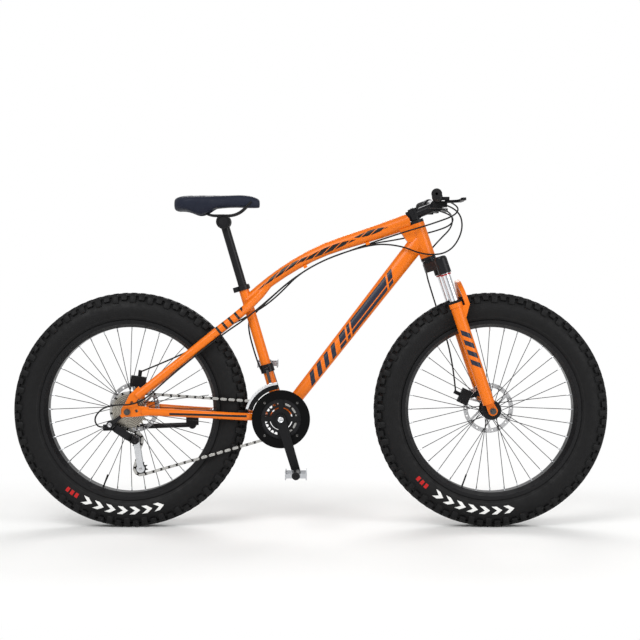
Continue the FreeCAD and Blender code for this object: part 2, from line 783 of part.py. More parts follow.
def dropout_plate():
    """The left plate, in its place."""
    base = REAR_AXLE + LEFT * (REAR_OLD / 2)
    plate = slab([base + V(x, 0, z) * DROPOUT_SIZE for x, z in DROPOUT_SHARES], LEFT * DROPOUT_T)
    for x, z in DROPOUT_HOLE_SHARES:
        plate = plate.cut(across(DROPOUT_HOLE_R, base + V(x, 0, z) * DROPOUT_SIZE, 0, DROPOUT_T))
    return plate.cut(across(AXLE_R, base, 0, DROPOUT_T))


HANGER = REAR_AXLE + V(-HANGER_BACK, 0, -HANGER_DROP)


def dropouts():
    left = dropout_plate()
    eye = across(HANGER_R, HANGER, -REAR_OLD / 2 - DROPOUT_T, -REAR_OLD / 2)
    along = HANGER - REAR_AXLE
    reach = along.Length - AXLE_NUT_R
    along.normalize()
    middle = HANGER - along * (reach / 2) + LEFT * -DROPOUT_Y
    web = block(middle, along, LEFT, along.cross(LEFT), reach, DROPOUT_T, HANGER_R)
    return group([left, fuse(mirrored(left), eye, web).cut(across(LINK_PIN_R, HANGER, -REAR_OLD, 0))])


def stays():
    plate = dropout_plate()
    widths = [SEATSTAY_HALF_W for point in SEATSTAY_POINTS]
    heights = [SEATSTAY_HALF_H for point in SEATSTAY_POINTS]
    high = hollow(SEATSTAY_POINTS, widths, heights)
    high = largest(high.cut(plate).cut(SEAT_SOLID).cut(TOP_ROOM))
    widths = [CHAINSTAY_HALF_W for point in CHAINSTAY_POINTS]
    heights = [CHAINSTAY_HALF_H for point in CHAINSTAY_POINTS]
    low = hollow(CHAINSTAY_POINTS, widths, heights)
    low = largest(low.cut(plate).cut(BB_SOLID).cut(SEAT_SOLID).cut(DOWN_SOLID))
    return group([high, low, mirrored(high), mirrored(low)])


def bearing_cups():
    pieces = []
    for face, out in ((HEAD_LOW, -1), (HEAD_HIGH, 1)):
        lip = cyl(HEAD_R, steer(0, 0, face), steer(0, 0, face + out * CUP_H))
        insert = cyl(HEAD_BORE_R, steer(0, 0, face), steer(0, 0, face - out * CUP_INSERT))
        bore = cyl(STEERER_R + RUN_FIT, steer(0, 0, face - out * CUP_INSERT), steer(0, 0, face + out * CUP_H))
        pieces.append(fuse(lip, insert).cut(bore))
    for side in (-1, 1):
        face = side * BB_W / 2
        lip = across(BB_R, BB, face, face + side * BB_CUP_FLANGE)
        insert = across(BB_BORE_R, BB, face - side * BB_CUP_L, face)
        bore = across(SPINDLE_R + RUN_FIT, BB, face - side * BB_CUP_L, face + side * BB_CUP_FLANGE)
        pieces.append(fuse(lip, insert).cut(bore))
    return group(pieces)


def seat_clamp():
    base = SEAT_L - CLAMP_H
    collar = cyl(CLAMP_R, seat(0, 0, base), seat(0, 0, SEAT_L))
    ear = block(seat(-CLAMP_R, 0, SEAT_L - CLAMP_H / 2), SEAT_FWD, LEFT, SEAT_UP,
                CLAMP_EAR * 2, CLAMP_EAR_W * 2, CLAMP_H)
    slot = block(seat(-CLAMP_R, 0, SEAT_L - CLAMP_H / 2), SEAT_FWD, LEFT, SEAT_UP,
                 CLAMP_EAR * 2, SEAT_SLOT_W, CLAMP_H)
    clamp = fuse(collar, ear).cut(SEAT_SOLID).cut(slot)
    spot = seat(-CLAMP_R - CLAMP_EAR / 2, 0, SEAT_L - CLAMP_H / 2)
    bolt = across(CLAMP_BOLT_R, spot, -CLAMP_EAR_W, QR_Y)
    collet = across(CLAMP_NUT_R, spot, CLAMP_EAR_W, QR_Y - QR_W / 2 - GAP)
    nut = across(CLAMP_NUT_R, spot, -CLAMP_EAR_W - CLAMP_NUT_L, -CLAMP_EAR_W)
    pin = cyl(QR_PIN_R, spot + LEFT * QR_Y - SEAT_UP * (QR_W / 2), spot + LEFT * QR_Y + SEAT_UP * (QR_W / 2))
    return fuse(clamp, bolt, collet, nut, pin)


def seat_clamp_lever():
    """Cam lever on an upright pin at the left end of the clamp bolt, folded forward."""
    spot = seat(-CLAMP_R - CLAMP_EAR / 2, QR_Y, SEAT_L - CLAMP_H / 2)
    half = SEAT_UP * (QR_W / 2)
    room = cyl(QR_W, spot - SEAT_UP * (CLAMP_BOLT_R + GAP), spot + SEAT_UP * (CLAMP_BOLT_R + GAP))
    cam = cyl(QR_W / 2, spot - half, spot + half).cut(room)
    start = QR_W / 2 - GAP
    middle = spot + SEAT_FWD * ((start + QR_L) / 2)
    arm = block(middle, SEAT_FWD, LEFT, SEAT_UP, QR_L - start, QR_T, QR_W)
    return fuse(cam, arm).cut(cyl(QR_PIN_R + RUN_FIT, spot - half, spot + half))


def seatpost():
    low = SEAT_L + POST_OUT - POST_L
    tube_part = cyl(POST_R, seat(0, 0, low), seat(0, 0, SEAT_L + POST_OUT))
    head = across(POST_HEAD_R, seat(0, 0, SEAT_L + POST_OUT), -POST_HEAD_W / 2, POST_HEAD_W / 2)
    bore = cyl(POST_R - POST_WALL, seat(0, 0, low), seat(0, 0, SEAT_L + POST_OUT - POST_HEAD_R - POST_WALL))
    return fuse(tube_part, head).cut(bore)


LEG_AXIS_TOP = steer(LEG_AHEAD, LEG_Y, LEG_TOP)
LEG_SOLID = cyl(LEG_R, steer(LEG_AHEAD, LEG_Y, LEG_BOTTOM), LEG_AXIS_TOP)
STEM_LOW = CUP_HIGH + STEM_BOTTOM_GAP
STEM_HIGH = STEM_LOW + STEM_CLAMP_H
BAR_MIDDLE = steer(STEM_REACH, 0, STEM_LOW + STEM_CLAMP_H / 2 + STEM_RISE)


def stanchions():
    top = CROWN_TOP - CROWN_LID
    left = cyl(STANCHION_R, steer(LEG_AHEAD, LEG_Y, STANCHION_BOTTOM), steer(LEG_AHEAD, LEG_Y, top))
    return group([left, mirrored(left)])


def fork_crown():
    half = CROWN_SOCKET_R * CROWN_WAIST_SHARE
    outline = [(-CROWN_BACK, CROWN_BACK), (LEG_AHEAD - half, LEG_Y), (LEG_AHEAD + half, LEG_Y),
               (CROWN_FRONT, CROWN_BACK), (CROWN_FRONT, -CROWN_BACK),
               (LEG_AHEAD + half, -LEG_Y), (LEG_AHEAD - half, -LEG_Y),
               (-CROWN_BACK, -CROWN_BACK)]
    points = [steer(ahead, y, CROWN_TOP - CROWN_BRIDGE_H) for ahead, y in outline]
    bridge = slab(points, STEER_UP * CROWN_BRIDGE_H)
    race = cyl(CROWN_BACK, steer(0, 0, CROWN_TOP), steer(0, 0, FORK_L - GAP))
    steerer = cyl(STEERER_R, steer(0, 0, CROWN_TOP), steer(0, 0, STEM_HIGH))
    socket_low = steer(LEG_AHEAD, LEG_Y, CROWN_TOP - CROWN_SOCKET_H)
    socket = cyl(CROWN_SOCKET_R, socket_low, steer(LEG_AHEAD, LEG_Y, CROWN_TOP))
    crown = fuse(bridge, race, steerer, socket, mirrored(socket))
    return crown.cut(stanchions())


def fork_lowers():
    collar = cyl(LEG_COLLAR_R, steer(LEG_AHEAD, LEG_Y, LEG_TOP - LEG_COLLAR_H), LEG_AXIS_TOP)
    inner = FRONT_OLD / 2
    tip_top = LEG_BOTTOM + FORK_TIP_W
    outline = [(LEG_AHEAD - FORK_TIP_W / 2, tip_top), (LEG_AHEAD + FORK_TIP_W / 2, tip_top),
               (FORK_OFFSET + FORK_TIP_R, 0), (FORK_OFFSET - FORK_TIP_R, 0)]
    tip = slab([steer(ahead, inner, up) for ahead, up in outline], LEFT * FORK_TIP_T)
    eye = across(FORK_TIP_R, FRONT_AXLE, inner, inner + FORK_TIP_T)
    ahead = LEG_AHEAD + ARCH_AHEAD
    foot_up = LEG_TOP - ARCH_LOW / 2 - LEG_COLLAR_H
    foot = block(steer((LEG_AHEAD + ahead) / 2, LEG_Y, foot_up), STEER_FWD, LEFT, STEER_UP,
                 ARCH_AHEAD, LEG_R, ARCH_LOW)
    leg = fuse(LEG_SOLID, collar, tip, eye, foot)
    outer = [(y * LEG_Y, up * ARCH_RISE) for y, up in ARCH_OUTER_SHARES]
    inside = [(y * LEG_Y, up * ARCH_RISE) for y, up in ARCH_INNER_SHARES]
    half = outer + [(y, up) for y, up in reversed(inside)]
    base = [steer(ahead - 2 * ARCH_HALF_T, y, LEG_TOP + up) for y, up in half]
    arch = slab(base, STEER_FWD * (2 * ARCH_HALF_T))
    lowers = fuse(leg, mirrored(leg), arch, mirrored(arch))
    bore = cyl(STANCHION_R + RUN_FIT, steer(LEG_AHEAD, LEG_Y, LEG_FLOOR), LEG_AXIS_TOP)
    return lowers.cut(bore).cut(mirrored(bore)).cut(across(AXLE_R, FRONT_AXLE, -FRONT_OLD, FRONT_OLD))


def stem():
    clamp = cyl(STEM_CLAMP_R, steer(0, 0, STEM_LOW), steer(0, 0, STEM_HIGH))
    cap = cyl(STEERER_R, steer(0, 0, STEM_HIGH), steer(0, 0, STEM_HIGH + STEM_CAP_T))
    middle = steer(-STEM_EAR + STEM_EAR_BACK, 0, (STEM_LOW + STEM_HIGH) / 2)
    ear = block(middle, STEER_FWD, LEFT, STEER_UP, 2 * STEM_EAR_BACK, STEM_EAR_W, STEM_CLAMP_H)
    root = steer(0, 0, (STEM_LOW + STEM_HIGH) / 2)
    points = [root, between(root, BAR_MIDDLE, 1 / 2), BAR_MIDDLE]
    neck = tube(points, [STEM_HALF_W] * 3, [STEM_HALF_H] * 3)
    grasp = across(BAR_CLAMP_R, BAR_MIDDLE, -BAR_CLAMP_W / 2, BAR_CLAMP_W / 2)
    shape = fuse(clamp, ear, neck, grasp).cut(cyl(STEERER_R, steer(0, 0, 0), steer(0, 0, STEM_HIGH)))
    shape = shape.cut(across(BAR_MID_R, BAR_MIDDLE, -BAR_CLAMP_W, BAR_CLAMP_W))
    return group([shape, cap])


def bar_points():
    """Right end, right bend, middle, and their mirror images on the left."""
    end = BAR_MIDDLE + V(-BAR_SWEEP, -BAR_HALF_W, BAR_RISE)
    out = BAR_MIDDLE + V(-BAR_SWEEP * BAR_SWEEP_SHARE, -BAR_BEND_OUT_Y, BAR_RISE)
    bend = BAR_MIDDLE + V(0, -BAR_BEND_Y, 0)
    right = [end, out, bend]
    return right + [V(p.x, -p.y, p.z) for p in reversed(right)]


BAR_POINTS = bar_points()
BAR_OUT = BAR_POINTS[0] - BAR_POINTS[1]
BAR_OUT.normalize()
BAR_FWD = FORWARD - BAR_OUT * BAR_OUT.dot(FORWARD)
BAR_FWD.normalize()
BAR_UP = BAR_OUT.cross(BAR_FWD)
if BAR_UP.z < 0:
    BAR_UP = BAR_UP * -1


def grip_frame(inward, ahead, up):
    """A point in the right grip's frame, inward from the bar end."""
    return BAR_POINTS[0] - BAR_OUT * inward + BAR_FWD * ahead + BAR_UP * up


def handlebar():
    bulge = across(BAR_MID_R, BAR_MIDDLE, -BAR_MID_W / 2, BAR_MID_W / 2)
    return fuse(rod(BAR_POINTS, BAR_R), bulge).cut(rod(BAR_POINTS, BAR_BORE_R))


def grips():
    sleeve = cyl(GRIP_R, grip_frame(GRIP_L, 0, 0), grip_frame(-GRIP_END_T, 0, 0))
    right = sleeve.cut(cyl(BAR_R, grip_frame(GRIP_L, 0, 0), grip_frame(0, 0, 0)))
    return group([right, mirrored(right)])


PERCH_IN = GRIP_L + PERCH_GAP + PERCH_W / 2
POD_IN = PERCH_IN + PERCH_W / 2 + PERCH_GAP + PERCH_W / 2
LEVER_TOP = -LEVER_DROP - GAP
LEVER_LOW = LEVER_TOP - 2 * LEVER_HALF_T


def bar_controls():
    """Right and left brake perches and shifter pods."""
    clamp = cyl(PERCH_R, grip_frame(PERCH_IN + PERCH_W / 2, 0, 0), grip_frame(PERCH_IN - PERCH_W / 2, 0, 0))
    arm = block(grip_frame(PERCH_IN, LEVER_AHEAD / 2, -LEVER_DROP / 2), BAR_FWD, BAR_OUT, BAR_UP,
                LEVER_AHEAD + 2 * LEVER_PIVOT_R, PERCH_W, LEVER_DROP)
    pin = cyl(LEVER_PIN_R, grip_frame(PERCH_IN, LEVER_AHEAD, -LEVER_DROP),
              grip_frame(PERCH_IN, LEVER_AHEAD, LEVER_LOW))
    hold = cyl(BAR_R, grip_frame(POD_IN + POD_W, 0, 0), grip_frame(0, 0, 0))
    perch = fuse(clamp, arm, pin).cut(hold)
    band = cyl(POD_R, grip_frame(POD_IN + PERCH_W / 2, 0, 0), grip_frame(POD_IN - PERCH_W / 2, 0, 0))
    body = block(grip_frame(POD_IN + POD_W / 2 - PERCH_W / 2, POD_AHEAD, -POD_R - POD_H / 2 + PERCH_GAP),
                 BAR_FWD, BAR_OUT, BAR_UP, POD_D, POD_W, POD_H)
    post = cyl(THUMB_PIN_R, thumb_pivot(0), thumb_pivot(GAP + THUMB_T))
    pod = fuse(band, body, post).cut(hold)
    return group([perch, pod, mirrored(perch), mirrored(pod)])


def thumb_pivot(down):
    return grip_frame(POD_IN + POD_W / 2 - PERCH_W / 2, POD_AHEAD, -POD_R - POD_H + PERCH_GAP - down)


def brake_lever():
    """The right lever; the left one is its mirror image."""
    outline = [(-LEVER_L * x, LEVER_AHEAD + LEVER_REACH * f) for x, f in LEVER_SHARES]
    points = [grip_frame(PERCH_IN + x, f, LEVER_LOW) for x, f in outline]
    blade = slab(points, BAR_UP * (2 * LEVER_HALF_T))
    pivot = grip_frame(PERCH_IN, LEVER_AHEAD, LEVER_LOW)
    eye = cyl(LEVER_PIVOT_R, pivot, grip_frame(PERCH_IN, LEVER_AHEAD, LEVER_TOP))
    return fuse(blade, eye).cut(cyl(LEVER_PIN_R + RUN_FIT, pivot, grip_frame(PERCH_IN, LEVER_AHEAD, 0)))


def shift_lever():
    """The right thumb lever under its pod; the left one is its mirror image."""
    a = thumb_pivot(GAP)
    b = thumb_pivot(GAP + THUMB_T)
    eye = cyl(THUMB_W / 2, a, b)
    toward = BAR_OUT * THUMB_OUT_SHARE - BAR_FWD * THUMB_BACK_SHARE
    toward.normalize()
    middle = (a + b) / 2 + toward * (THUMB_L / 2)
    blade = block(middle, toward, toward.cross(BAR_UP), BAR_UP, THUMB_L, THUMB_W, THUMB_T)
    return fuse(eye, blade).cut(cyl(THUMB_PIN_R + RUN_FIT, thumb_pivot(0), thumb_pivot(POD_H)))


def pitch_radius(teeth):
    return PITCH / (2 * math.sin(math.pi / teeth))


def toothed(centre, teeth, y, thick, phase, tip=TOOTH_TIP):
    """A toothed disc with a tooth gap at the angle given by phase."""
    points = []
    for i in range(teeth):
        a = math.radians(phase + FULL_TURN * (i + 1 / 2) / teeth)
        radial = V(math.cos(a), 0, math.sin(a))
        tangent = V(-math.sin(a), 0, math.cos(a))
        for half, rise in ((-TOOTH_ROOT_HALF, -TOOTH_ROOT), (-TOOTH_TIP_HALF, tip),
                           (TOOTH_TIP_HALF, tip), (TOOTH_ROOT_HALF, -TOOTH_ROOT)):
            point = centre + radial * (pitch_radius(teeth) + rise) + tangent * half
            points.append(point + LEFT * (y - thick / 2))
    return slab(points, LEFT * thick)


UPPER_PULLEY = REAR_AXLE + V(UPPER_PULLEY_AHEAD, 0, -UPPER_PULLEY_DROP)


def lower_pulley_at(swing):
    a = math.radians(swing)
    return UPPER_PULLEY + V(math.sin(a), 0, -math.cos(a)) * CAGE_L


def chain_path(swing):
    """Runs and arcs of the chain's pitch line: (length, wheel or None, start, turn data)."""
    pulley = pitch_radius(PULLEY_TEETH)
    wheels = [(BB, pitch_radius(RINGS[0]), -1), (lower_pulley_at(swing), pulley, -1),
              (UPPER_PULLEY, pulley, 1), (REAR_AXLE, pitch_radius(COGS[0]), -1)]
    leaves = []
    for (c1, r1, s1), (c2, r2, s2) in zip(wheels, wheels[1:] + wheels[:1]):
        apart = c2 - c1
        heading = math.atan2(apart.z, apart.x) - math.asin((r2 * s2 - r1 * s1) / apart.Length)
        side = V(math.sin(heading), 0, -math.cos(heading))
        leaves.append((c1 + side * (r1 * s1), c2 + side * (r2 * s2), heading))
    path = []
    for i, (centre, r, sense) in enumerate(wheels):
        arrive = leaves[i - 1][1] - centre
        depart = leaves[i][0] - centre
        start = math.atan2(arrive.z, arrive.x)
        sweep = (sense * (math.atan2(depart.z, depart.x) - start)) % (2 * math.pi)
        path.append((r * sweep, centre, r, start, sense))
        path.append(((leaves[i][1] - leaves[i][0]).Length, leaves[i][0], 0, leaves[i][2], 0))
    return path


def on_path(path, travel):
    travel = travel % sum(piece[0] for piece in path)
    for length, place, r, angle, sense in path:
        if travel <= length:
            if sense:
                a = angle + sense * travel / r
                return place + V(math.cos(a), 0, math.sin(a)) * r
            return place + V(math.cos(angle), 0, math.sin(angle)) * travel
        travel -= length
    return path[0][1] + V(math.cos(path[0][3]), 0, math.sin(path[0][3])) * path[0][2]


def roller_travels(path, links):
    """Travel of each roller, stepped along the pitch line by one pitch in a straight line."""
    travels = [0.0]
    for i in range(links):
        here = on_path(path, travels[-1])
        low = travels[-1] + PITCH * STEP_LOW_SHARE
        high = travels[-1] + PITCH * STEP_HIGH_SHARE
        for j in range(HALVINGS):
            middle = (low + high) / 2
            if (on_path(path, middle) - here).Length < PITCH:
                low = middle
            else:
                high = middle
        travels.append((low + high) / 2)
    return travels


def solve_chain():
    """The cage swing at which an even number of links closes."""
    length = sum(piece[0] for piece in chain_path(CAGE_SWING))
    links = 2 * round(length / PITCH / 2)
    low = CAGE_SWING - CAGE_SWING_RANGE
    high = CAGE_SWING + CAGE_SWING_RANGE
    for i in range(HALVINGS):
        swing = (low + high) / 2
        path = chain_path(swing)
        spare = sum(piece[0] for piece in path) - roller_travels(path, links)[-1]
        if spare > 0:
            low = swing
        else:
            high = swing
    return swing, path, roller_travels(path, links)[:-1]


SWING, CHAIN_PATH, TRAVELS = solve_chain()
LOWER_PULLEY = lower_pulley_at(SWING)
ROLLERS = [on_path(CHAIN_PATH, travel) for travel in TRAVELS]


def phase_on(centre, teeth):
    """Angle of the roller seated deepest on a wheel."""
    r = pitch_radius(teeth)
    seated = min(ROLLERS, key=lambda point: abs((point - centre).Length - r))
    return math.degrees(math.atan2(seated.z - centre.z, seated.x - centre.x))


def plate(y):
    outline = [(PITCH * x, PLATE_H * z) for x, z in PLATE_SHARES]
    return slab([V(x, y, z) for x, z in outline], LEFT * PLATE_T)


def chain():
    half = CHAIN_INNER_W / 2
    reach = half + PLATE_T
    plates = [plate(half), plate(-reach)]
    rollers = [across(ROLLER_R, V(side * PITCH / 2, 0, 0), -half, half) for side in (-1, 1)]
    inner = fuse(*plates, *rollers)
    outer = [plate(reach + PLATE_GAP), plate(-reach - PLATE_GAP - PLATE_T)]
    pieces = []
    for i, (a, b) in enumerate(zip(ROLLERS, ROLLERS[1:] + ROLLERS[:1])):
        turn = math.degrees(math.atan2(b.z - a.z, b.x - a.x))
        place = FreeCAD.Placement((a + b) / 2 + LEFT * CHAIN_Y, FreeCAD.Rotation(LEFT, -turn))
        for shape in ([inner], outer)[i % 2]:
            copy = shape.copy()
            copy.Placement = place
            pieces.append(copy)
    return group(pieces)


def sprockets():
    discs = []
    for i, teeth in enumerate(COGS):
        phase = phase_on(REAR_AXLE, COGS[0])
        discs.append(toothed(REAR_AXLE, teeth, CHAIN_Y - i * COG_STEP, COG_T, phase))
    low = CHAIN_Y - (len(COGS) - 1) * COG_STEP - COG_T / 2
    core = across(COG_SPACER_R, REAR_AXLE, low, CHAIN_Y + COG_T / 2)
    bore = across(HUB_R + RUN_FIT, REAR_AXLE, low, CHAIN_Y + COG_T)
    return fuse(core, *discs).cut(bore)


def ring_y(i):
    return CHAIN_Y - i * RING_STEP


def chainrings():
    pieces = []
    for i, teeth in enumerate(RINGS):
        disc = toothed(BB, teeth, ring_y(i), RING_T, phase_on(BB, RINGS[0]))
        pieces.append(disc.cut(across(pitch_radius(teeth) * RING_BORE_SHARE, BB, -BB_W, 0)))
    face = ring_y(2) - RING_T / 2
    guard = across(GUARD_R, BB, face - GUARD_T, face)
    pieces.append(guard.cut(across(GUARD_BORE_R, BB, face - GUARD_T, face)))
    return group(pieces)


CRANK_DOWN = polar(CRANK_TURN - QUARTER, 1, 0)
CRANK_SIDE = LEFT.cross(CRANK_DOWN)
SPINDLE = across(SPINDLE_R, BB, -CRANK_OUT - CRANK_T, CRANK_OUT + CRANK_T)


def crank_arm(side):
    """An arm with its pedal axle, on the right (-1) or the left (1)."""
    inner = side * CRANK_OUT
    end = BB + CRANK_DOWN * (-side * CRANK_L)
    outline = [BB - CRANK_SIDE * CRANK_EYE_R, BB + CRANK_SIDE * CRANK_EYE_R, end + CRANK_SIDE * CRANK_END_R,
               end - CRANK_SIDE * CRANK_END_R]
    web = slab([point + LEFT * inner for point in outline], LEFT * (side * CRANK_T))
    eye = across(CRANK_EYE_R, BB, side * (BB_W / 2 + BB_CUP_FLANGE + BOSS_GAP), inner + side * CRANK_T)
    tip = across(CRANK_END_R, end, inner, inner + side * CRANK_T)
    pin = across(PEDAL_AXLE_R, end, inner + side * CRANK_T, inner + side * (CRANK_T + PEDAL_GAP + PEDAL_W))
    return fuse(web, eye, tip, pin).cut(SPINDLE)


def crank_right():
    low = ring_y(2) + RING_T / 2
    high = ring_y(1) - RING_T / 2
    arms = [across(SPIDER_R * SPIDER_HUB_SHARE, BB, low, high)]
    for i in range(SPIDER_ARMS):
        out = polar(FULL_TURN * i / SPIDER_ARMS, 1, 0)
        middle = BB + out * (SPIDER_R / 2) + LEFT * ((low + high) / 2)
        arms.append(block(middle, out, LEFT, out.cross(LEFT), SPIDER_R, high - low, SPIDER_ARM_W))
        post = BB + out * (pitch_radius(RINGS[0]) * (1 + RING_BORE_SHARE) / 2 - TOOTH_ROOT / 2)
        arms.append(across(SPIDER_POST_R, post, high, ring_y(0) - RING_T / 2))
    return fuse(crank_arm(-1), *arms).cut(SPINDLE)


def crank_left():
    return group([crank_arm(1), SPINDLE])


def pedal(side):
    end = BB + CRANK_DOWN * (-side * CRANK_L)
    inner = CRANK_OUT + CRANK_T + PEDAL_GAP
    middle = end + LEFT * (side * (inner + PEDAL_W / 2))
    core = across(PEDAL_BODY_R, end, side * inner, side * (inner + PEDAL_W))
    pieces = [core]
    for out in (-1, 1):
        wall = middle + FORWARD * (out * (PEDAL_L - PEDAL_CAGE_T) / 2)
        pieces.append(block(wall, FORWARD, LEFT, UPWARD, PEDAL_CAGE_T, PEDAL_W, PEDAL_H))
        bar = middle + LEFT * (out * (PEDAL_W - PEDAL_CAGE_T) / 2)
        pieces.append(block(bar, FORWARD, LEFT, UPWARD, PEDAL_L, PEDAL_CAGE_T, PEDAL_H * PEDAL_BAR_SHARE))
    return fuse(*pieces).cut(across(PEDAL_AXLE_R + RUN_FIT, end, side * inner, side * (inner + PEDAL_W)))


LINK_ALONG = UPPER_PULLEY - HANGER
LINK_ALONG.normalize()
LINK_AXIS = LEFT.cross(LINK_ALONG)
LINK_FROM = HANGER + LINK_ALONG * LINK_INSET
LINK_TO = UPPER_PULLEY - LINK_ALONG * LINK_INSET
LINK_MID_Y = (LINK_OUTER_Y + LINK_INNER_Y) / 2
LINK_SPREAD = LINK_INNER_Y - LINK_OUTER_Y


def link_prongs(pivot, toward):
    """Upper and lower prongs with the two link pins between them."""
    reach = LINK_H / 2 + GAP
    length = LINK_INSET + LINK_T / 2
    pieces = []
    for out in (-1, 1):
        side = LINK_AXIS * (out * (reach + PRONG_T / 2))
        middle = pivot + toward * (length / 2 - LINK_T / 2) + side + LEFT * LINK_MID_Y
        pieces.append(block(middle, toward, LEFT, LINK_AXIS, length, LINK_SPREAD + LINK_T, PRONG_T))
    for y in (LINK_OUTER_Y, LINK_INNER_Y):
        spot = pivot + LEFT * y
        pieces.append(cyl(LINK_PIN_R, spot - LINK_AXIS * reach, spot + LINK_AXIS * reach))
    return pieces


def rear_derailleur_bracket():
    body = across(KNUCKLE_R, HANGER, -REAR_OLD / 2, LINK_INNER_Y + LINK_T / 2)
    bolt = across(LINK_PIN_R, HANGER, -REAR_OLD / 2 - DROPOUT_T - BOLT_HEAD_T, -REAR_OLD / 2)
    face = -REAR_OLD / 2 - DROPOUT_T
    head = across(HANGER_R * BOLT_HEAD_SHARE, HANGER, face - BOLT_HEAD_T, face)
    return fuse(body, bolt, head, *link_prongs(LINK_FROM, LINK_ALONG * -1))


def derailleur_link(y):
    a = LINK_FROM + LEFT * y
    b = LINK_TO + LEFT * y
    half = LINK_AXIS * (LINK_H / 2)
    web = block((a + b) / 2, LINK_ALONG, LEFT, LINK_AXIS, (b - a).Length, LINK_T, LINK_H)
    shape = fuse(web, cyl(LINK_T / 2, a - half, a + half), cyl(LINK_T / 2, b - half, b + half))
    for spot in (a, b):
        shape = shape.cut(cyl(LINK_PIN_R + RUN_FIT, spot - half, spot + half))
    return shape


CAGE_OUT_Y = CHAIN_Y - CAGE_GAP - CAGE_T


def rear_derailleur_knuckle():
    body = across(KNUCKLE_R, UPPER_PULLEY, LINK_OUTER_Y - LINK_T / 2, CAGE_OUT_Y - GAP)
    bore = across(CAGE_PIN_R + RUN_FIT, UPPER_PULLEY, CAGE_OUT_Y - CAGE_PIN_L, CAGE_OUT_Y)
    return fuse(body, *link_prongs(LINK_TO, LINK_ALONG)).cut(bore)


def rear_derailleur_cage():
    along = LOWER_PULLEY - UPPER_PULLEY
    length = along.Length
    along.normalize()
    pieces = []
    for low in (CAGE_OUT_Y, CHAIN_Y + CAGE_GAP):
        middle = (UPPER_PULLEY + LOWER_PULLEY) / 2 + LEFT * (low + CAGE_T / 2)
        pieces.append(block(middle, along, LEFT, along.cross(LEFT), length, CAGE_T, 2 * CAGE_HALF_W))
        pieces.append(across(CAGE_EYE_R, UPPER_PULLEY, low, low + CAGE_T))
        pieces.append(across(CAGE_EYE_R, LOWER_PULLEY, low, low + CAGE_T))
    for pulley in (UPPER_PULLEY, LOWER_PULLEY):
        pieces.append(across(PULLEY_BORE_R, pulley, CAGE_OUT_Y, CHAIN_Y + CAGE_GAP + CAGE_T))
    pieces.append(across(CAGE_PIN_R, UPPER_PULLEY, CAGE_OUT_Y - CAGE_PIN_L + GAP, CAGE_OUT_Y))
    return fuse(*pieces)


def jockey(centre):
    disc = toothed(centre, PULLEY_TEETH, CHAIN_Y, PULLEY_T, phase_on(centre, PULLEY_TEETH), PULLEY_TIP)
    bush = across(2 * PULLEY_BORE_R, centre, CHAIN_Y - CAGE_GAP + GAP, CHAIN_Y + CAGE_GAP - GAP)
    return fuse(disc, bush).cut(across(PULLEY_BORE_R + RUN_FIT, centre, -BB_W, 0))


FD_PIVOT = seat(0, -FD_PIVOT_OUT, FD_UP)


def front_derailleur_body():
    low = FD_UP - FD_BODY_H / 2
    band = cyl(FD_BODY_R, seat(0, 0, low), seat(0, 0, low + FD_BODY_H))
    lug = block(seat(0, -FD_LUG_OUT / 2, FD_UP), SEAT_FWD, LEFT, SEAT_UP, FD_EYE_L, FD_LUG_OUT, FD_BODY_H)
    reach = SEAT_FWD * (FD_EYE_L / 2 + GAP)
    room = cyl(FD_EYE_R + GAP, FD_PIVOT - reach, FD_PIVOT + reach)
    span = FD_EYE_L / 2 + FD_CHEEK_T
    pin = cyl(FD_PIN_R, FD_PIVOT - SEAT_FWD * span, FD_PIVOT + SEAT_FWD * span)
    cheeks = []
    for out in (-1, 1):
        middle = seat(out * (FD_EYE_L / 2 + GAP + FD_CHEEK_T / 2), -FD_PIVOT_OUT / 2, FD_UP)
        cheeks.append(block(middle, SEAT_FWD, LEFT, SEAT_UP,
                            FD_CHEEK_T, FD_PIVOT_OUT + 2 * FD_PIN_R, FD_BODY_H * FD_CHEEK_SHARE))
    return fuse(fuse(band, lug).cut(room), pin, *cheeks).cut(SEAT_SOLID)


def front_derailleur_cage():
    """Two guide plates round the chain above the rings, hung from an eye on the body."""
    inner_r = GUARD_R + FD_CAGE_CLEAR
    outer_r = inner_r + FD_CAGE_H
    pieces = []
    for y in (CHAIN_Y - FD_CAGE_GAP / 2 - FD_CAGE_T, CHAIN_Y + FD_CAGE_GAP / 2):
        pieces.append(arc_plate(inner_r, outer_r, y, y + FD_CAGE_T, FD_CAGE_FROM, FD_CAGE_TO))
    low = CHAIN_Y - FD_CAGE_GAP / 2 - FD_CAGE_T
    high = CHAIN_Y + FD_CAGE_GAP / 2 + FD_CAGE_T
    bridge_end = FD_CAGE_FROM + FD_BRIDGE_TURN
    pieces.append(arc_plate(outer_r - FD_CAGE_T, outer_r, low, high, FD_CAGE_FROM, bridge_end))
    pieces.append(arc_plate(inner_r, inner_r + FD_CAGE_T, low, high, FD_CAGE_TO - FD_TAIL_TURN, FD_CAGE_TO))
    eye_half = SEAT_FWD * (FD_EYE_L / 2)
    eye = cyl(FD_EYE_R, FD_PIVOT - eye_half, FD_PIVOT + eye_half)
    foot = BB + polar(FD_CAGE_FROM + FD_BRIDGE_TURN / 2, outer_r - FD_CAGE_T / 2, CHAIN_Y)
    along = foot - FD_PIVOT
    length = along.Length
    along.normalize()
    arm = block((foot + FD_PIVOT) / 2, along, SEAT_FWD, along.cross(SEAT_FWD),
                length, FD_EYE_L - FD_CHEEK_T, 2 * FD_PIN_R)
    shape = fuse(*pieces, eye, arm.cut(cyl(FD_PIN_R, FD_PIVOT - eye_half, FD_PIVOT + eye_half)))
    return shape.cut(cyl(FD_PIN_R + RUN_FIT, FD_PIVOT - eye_half, FD_PIVOT + eye_half))


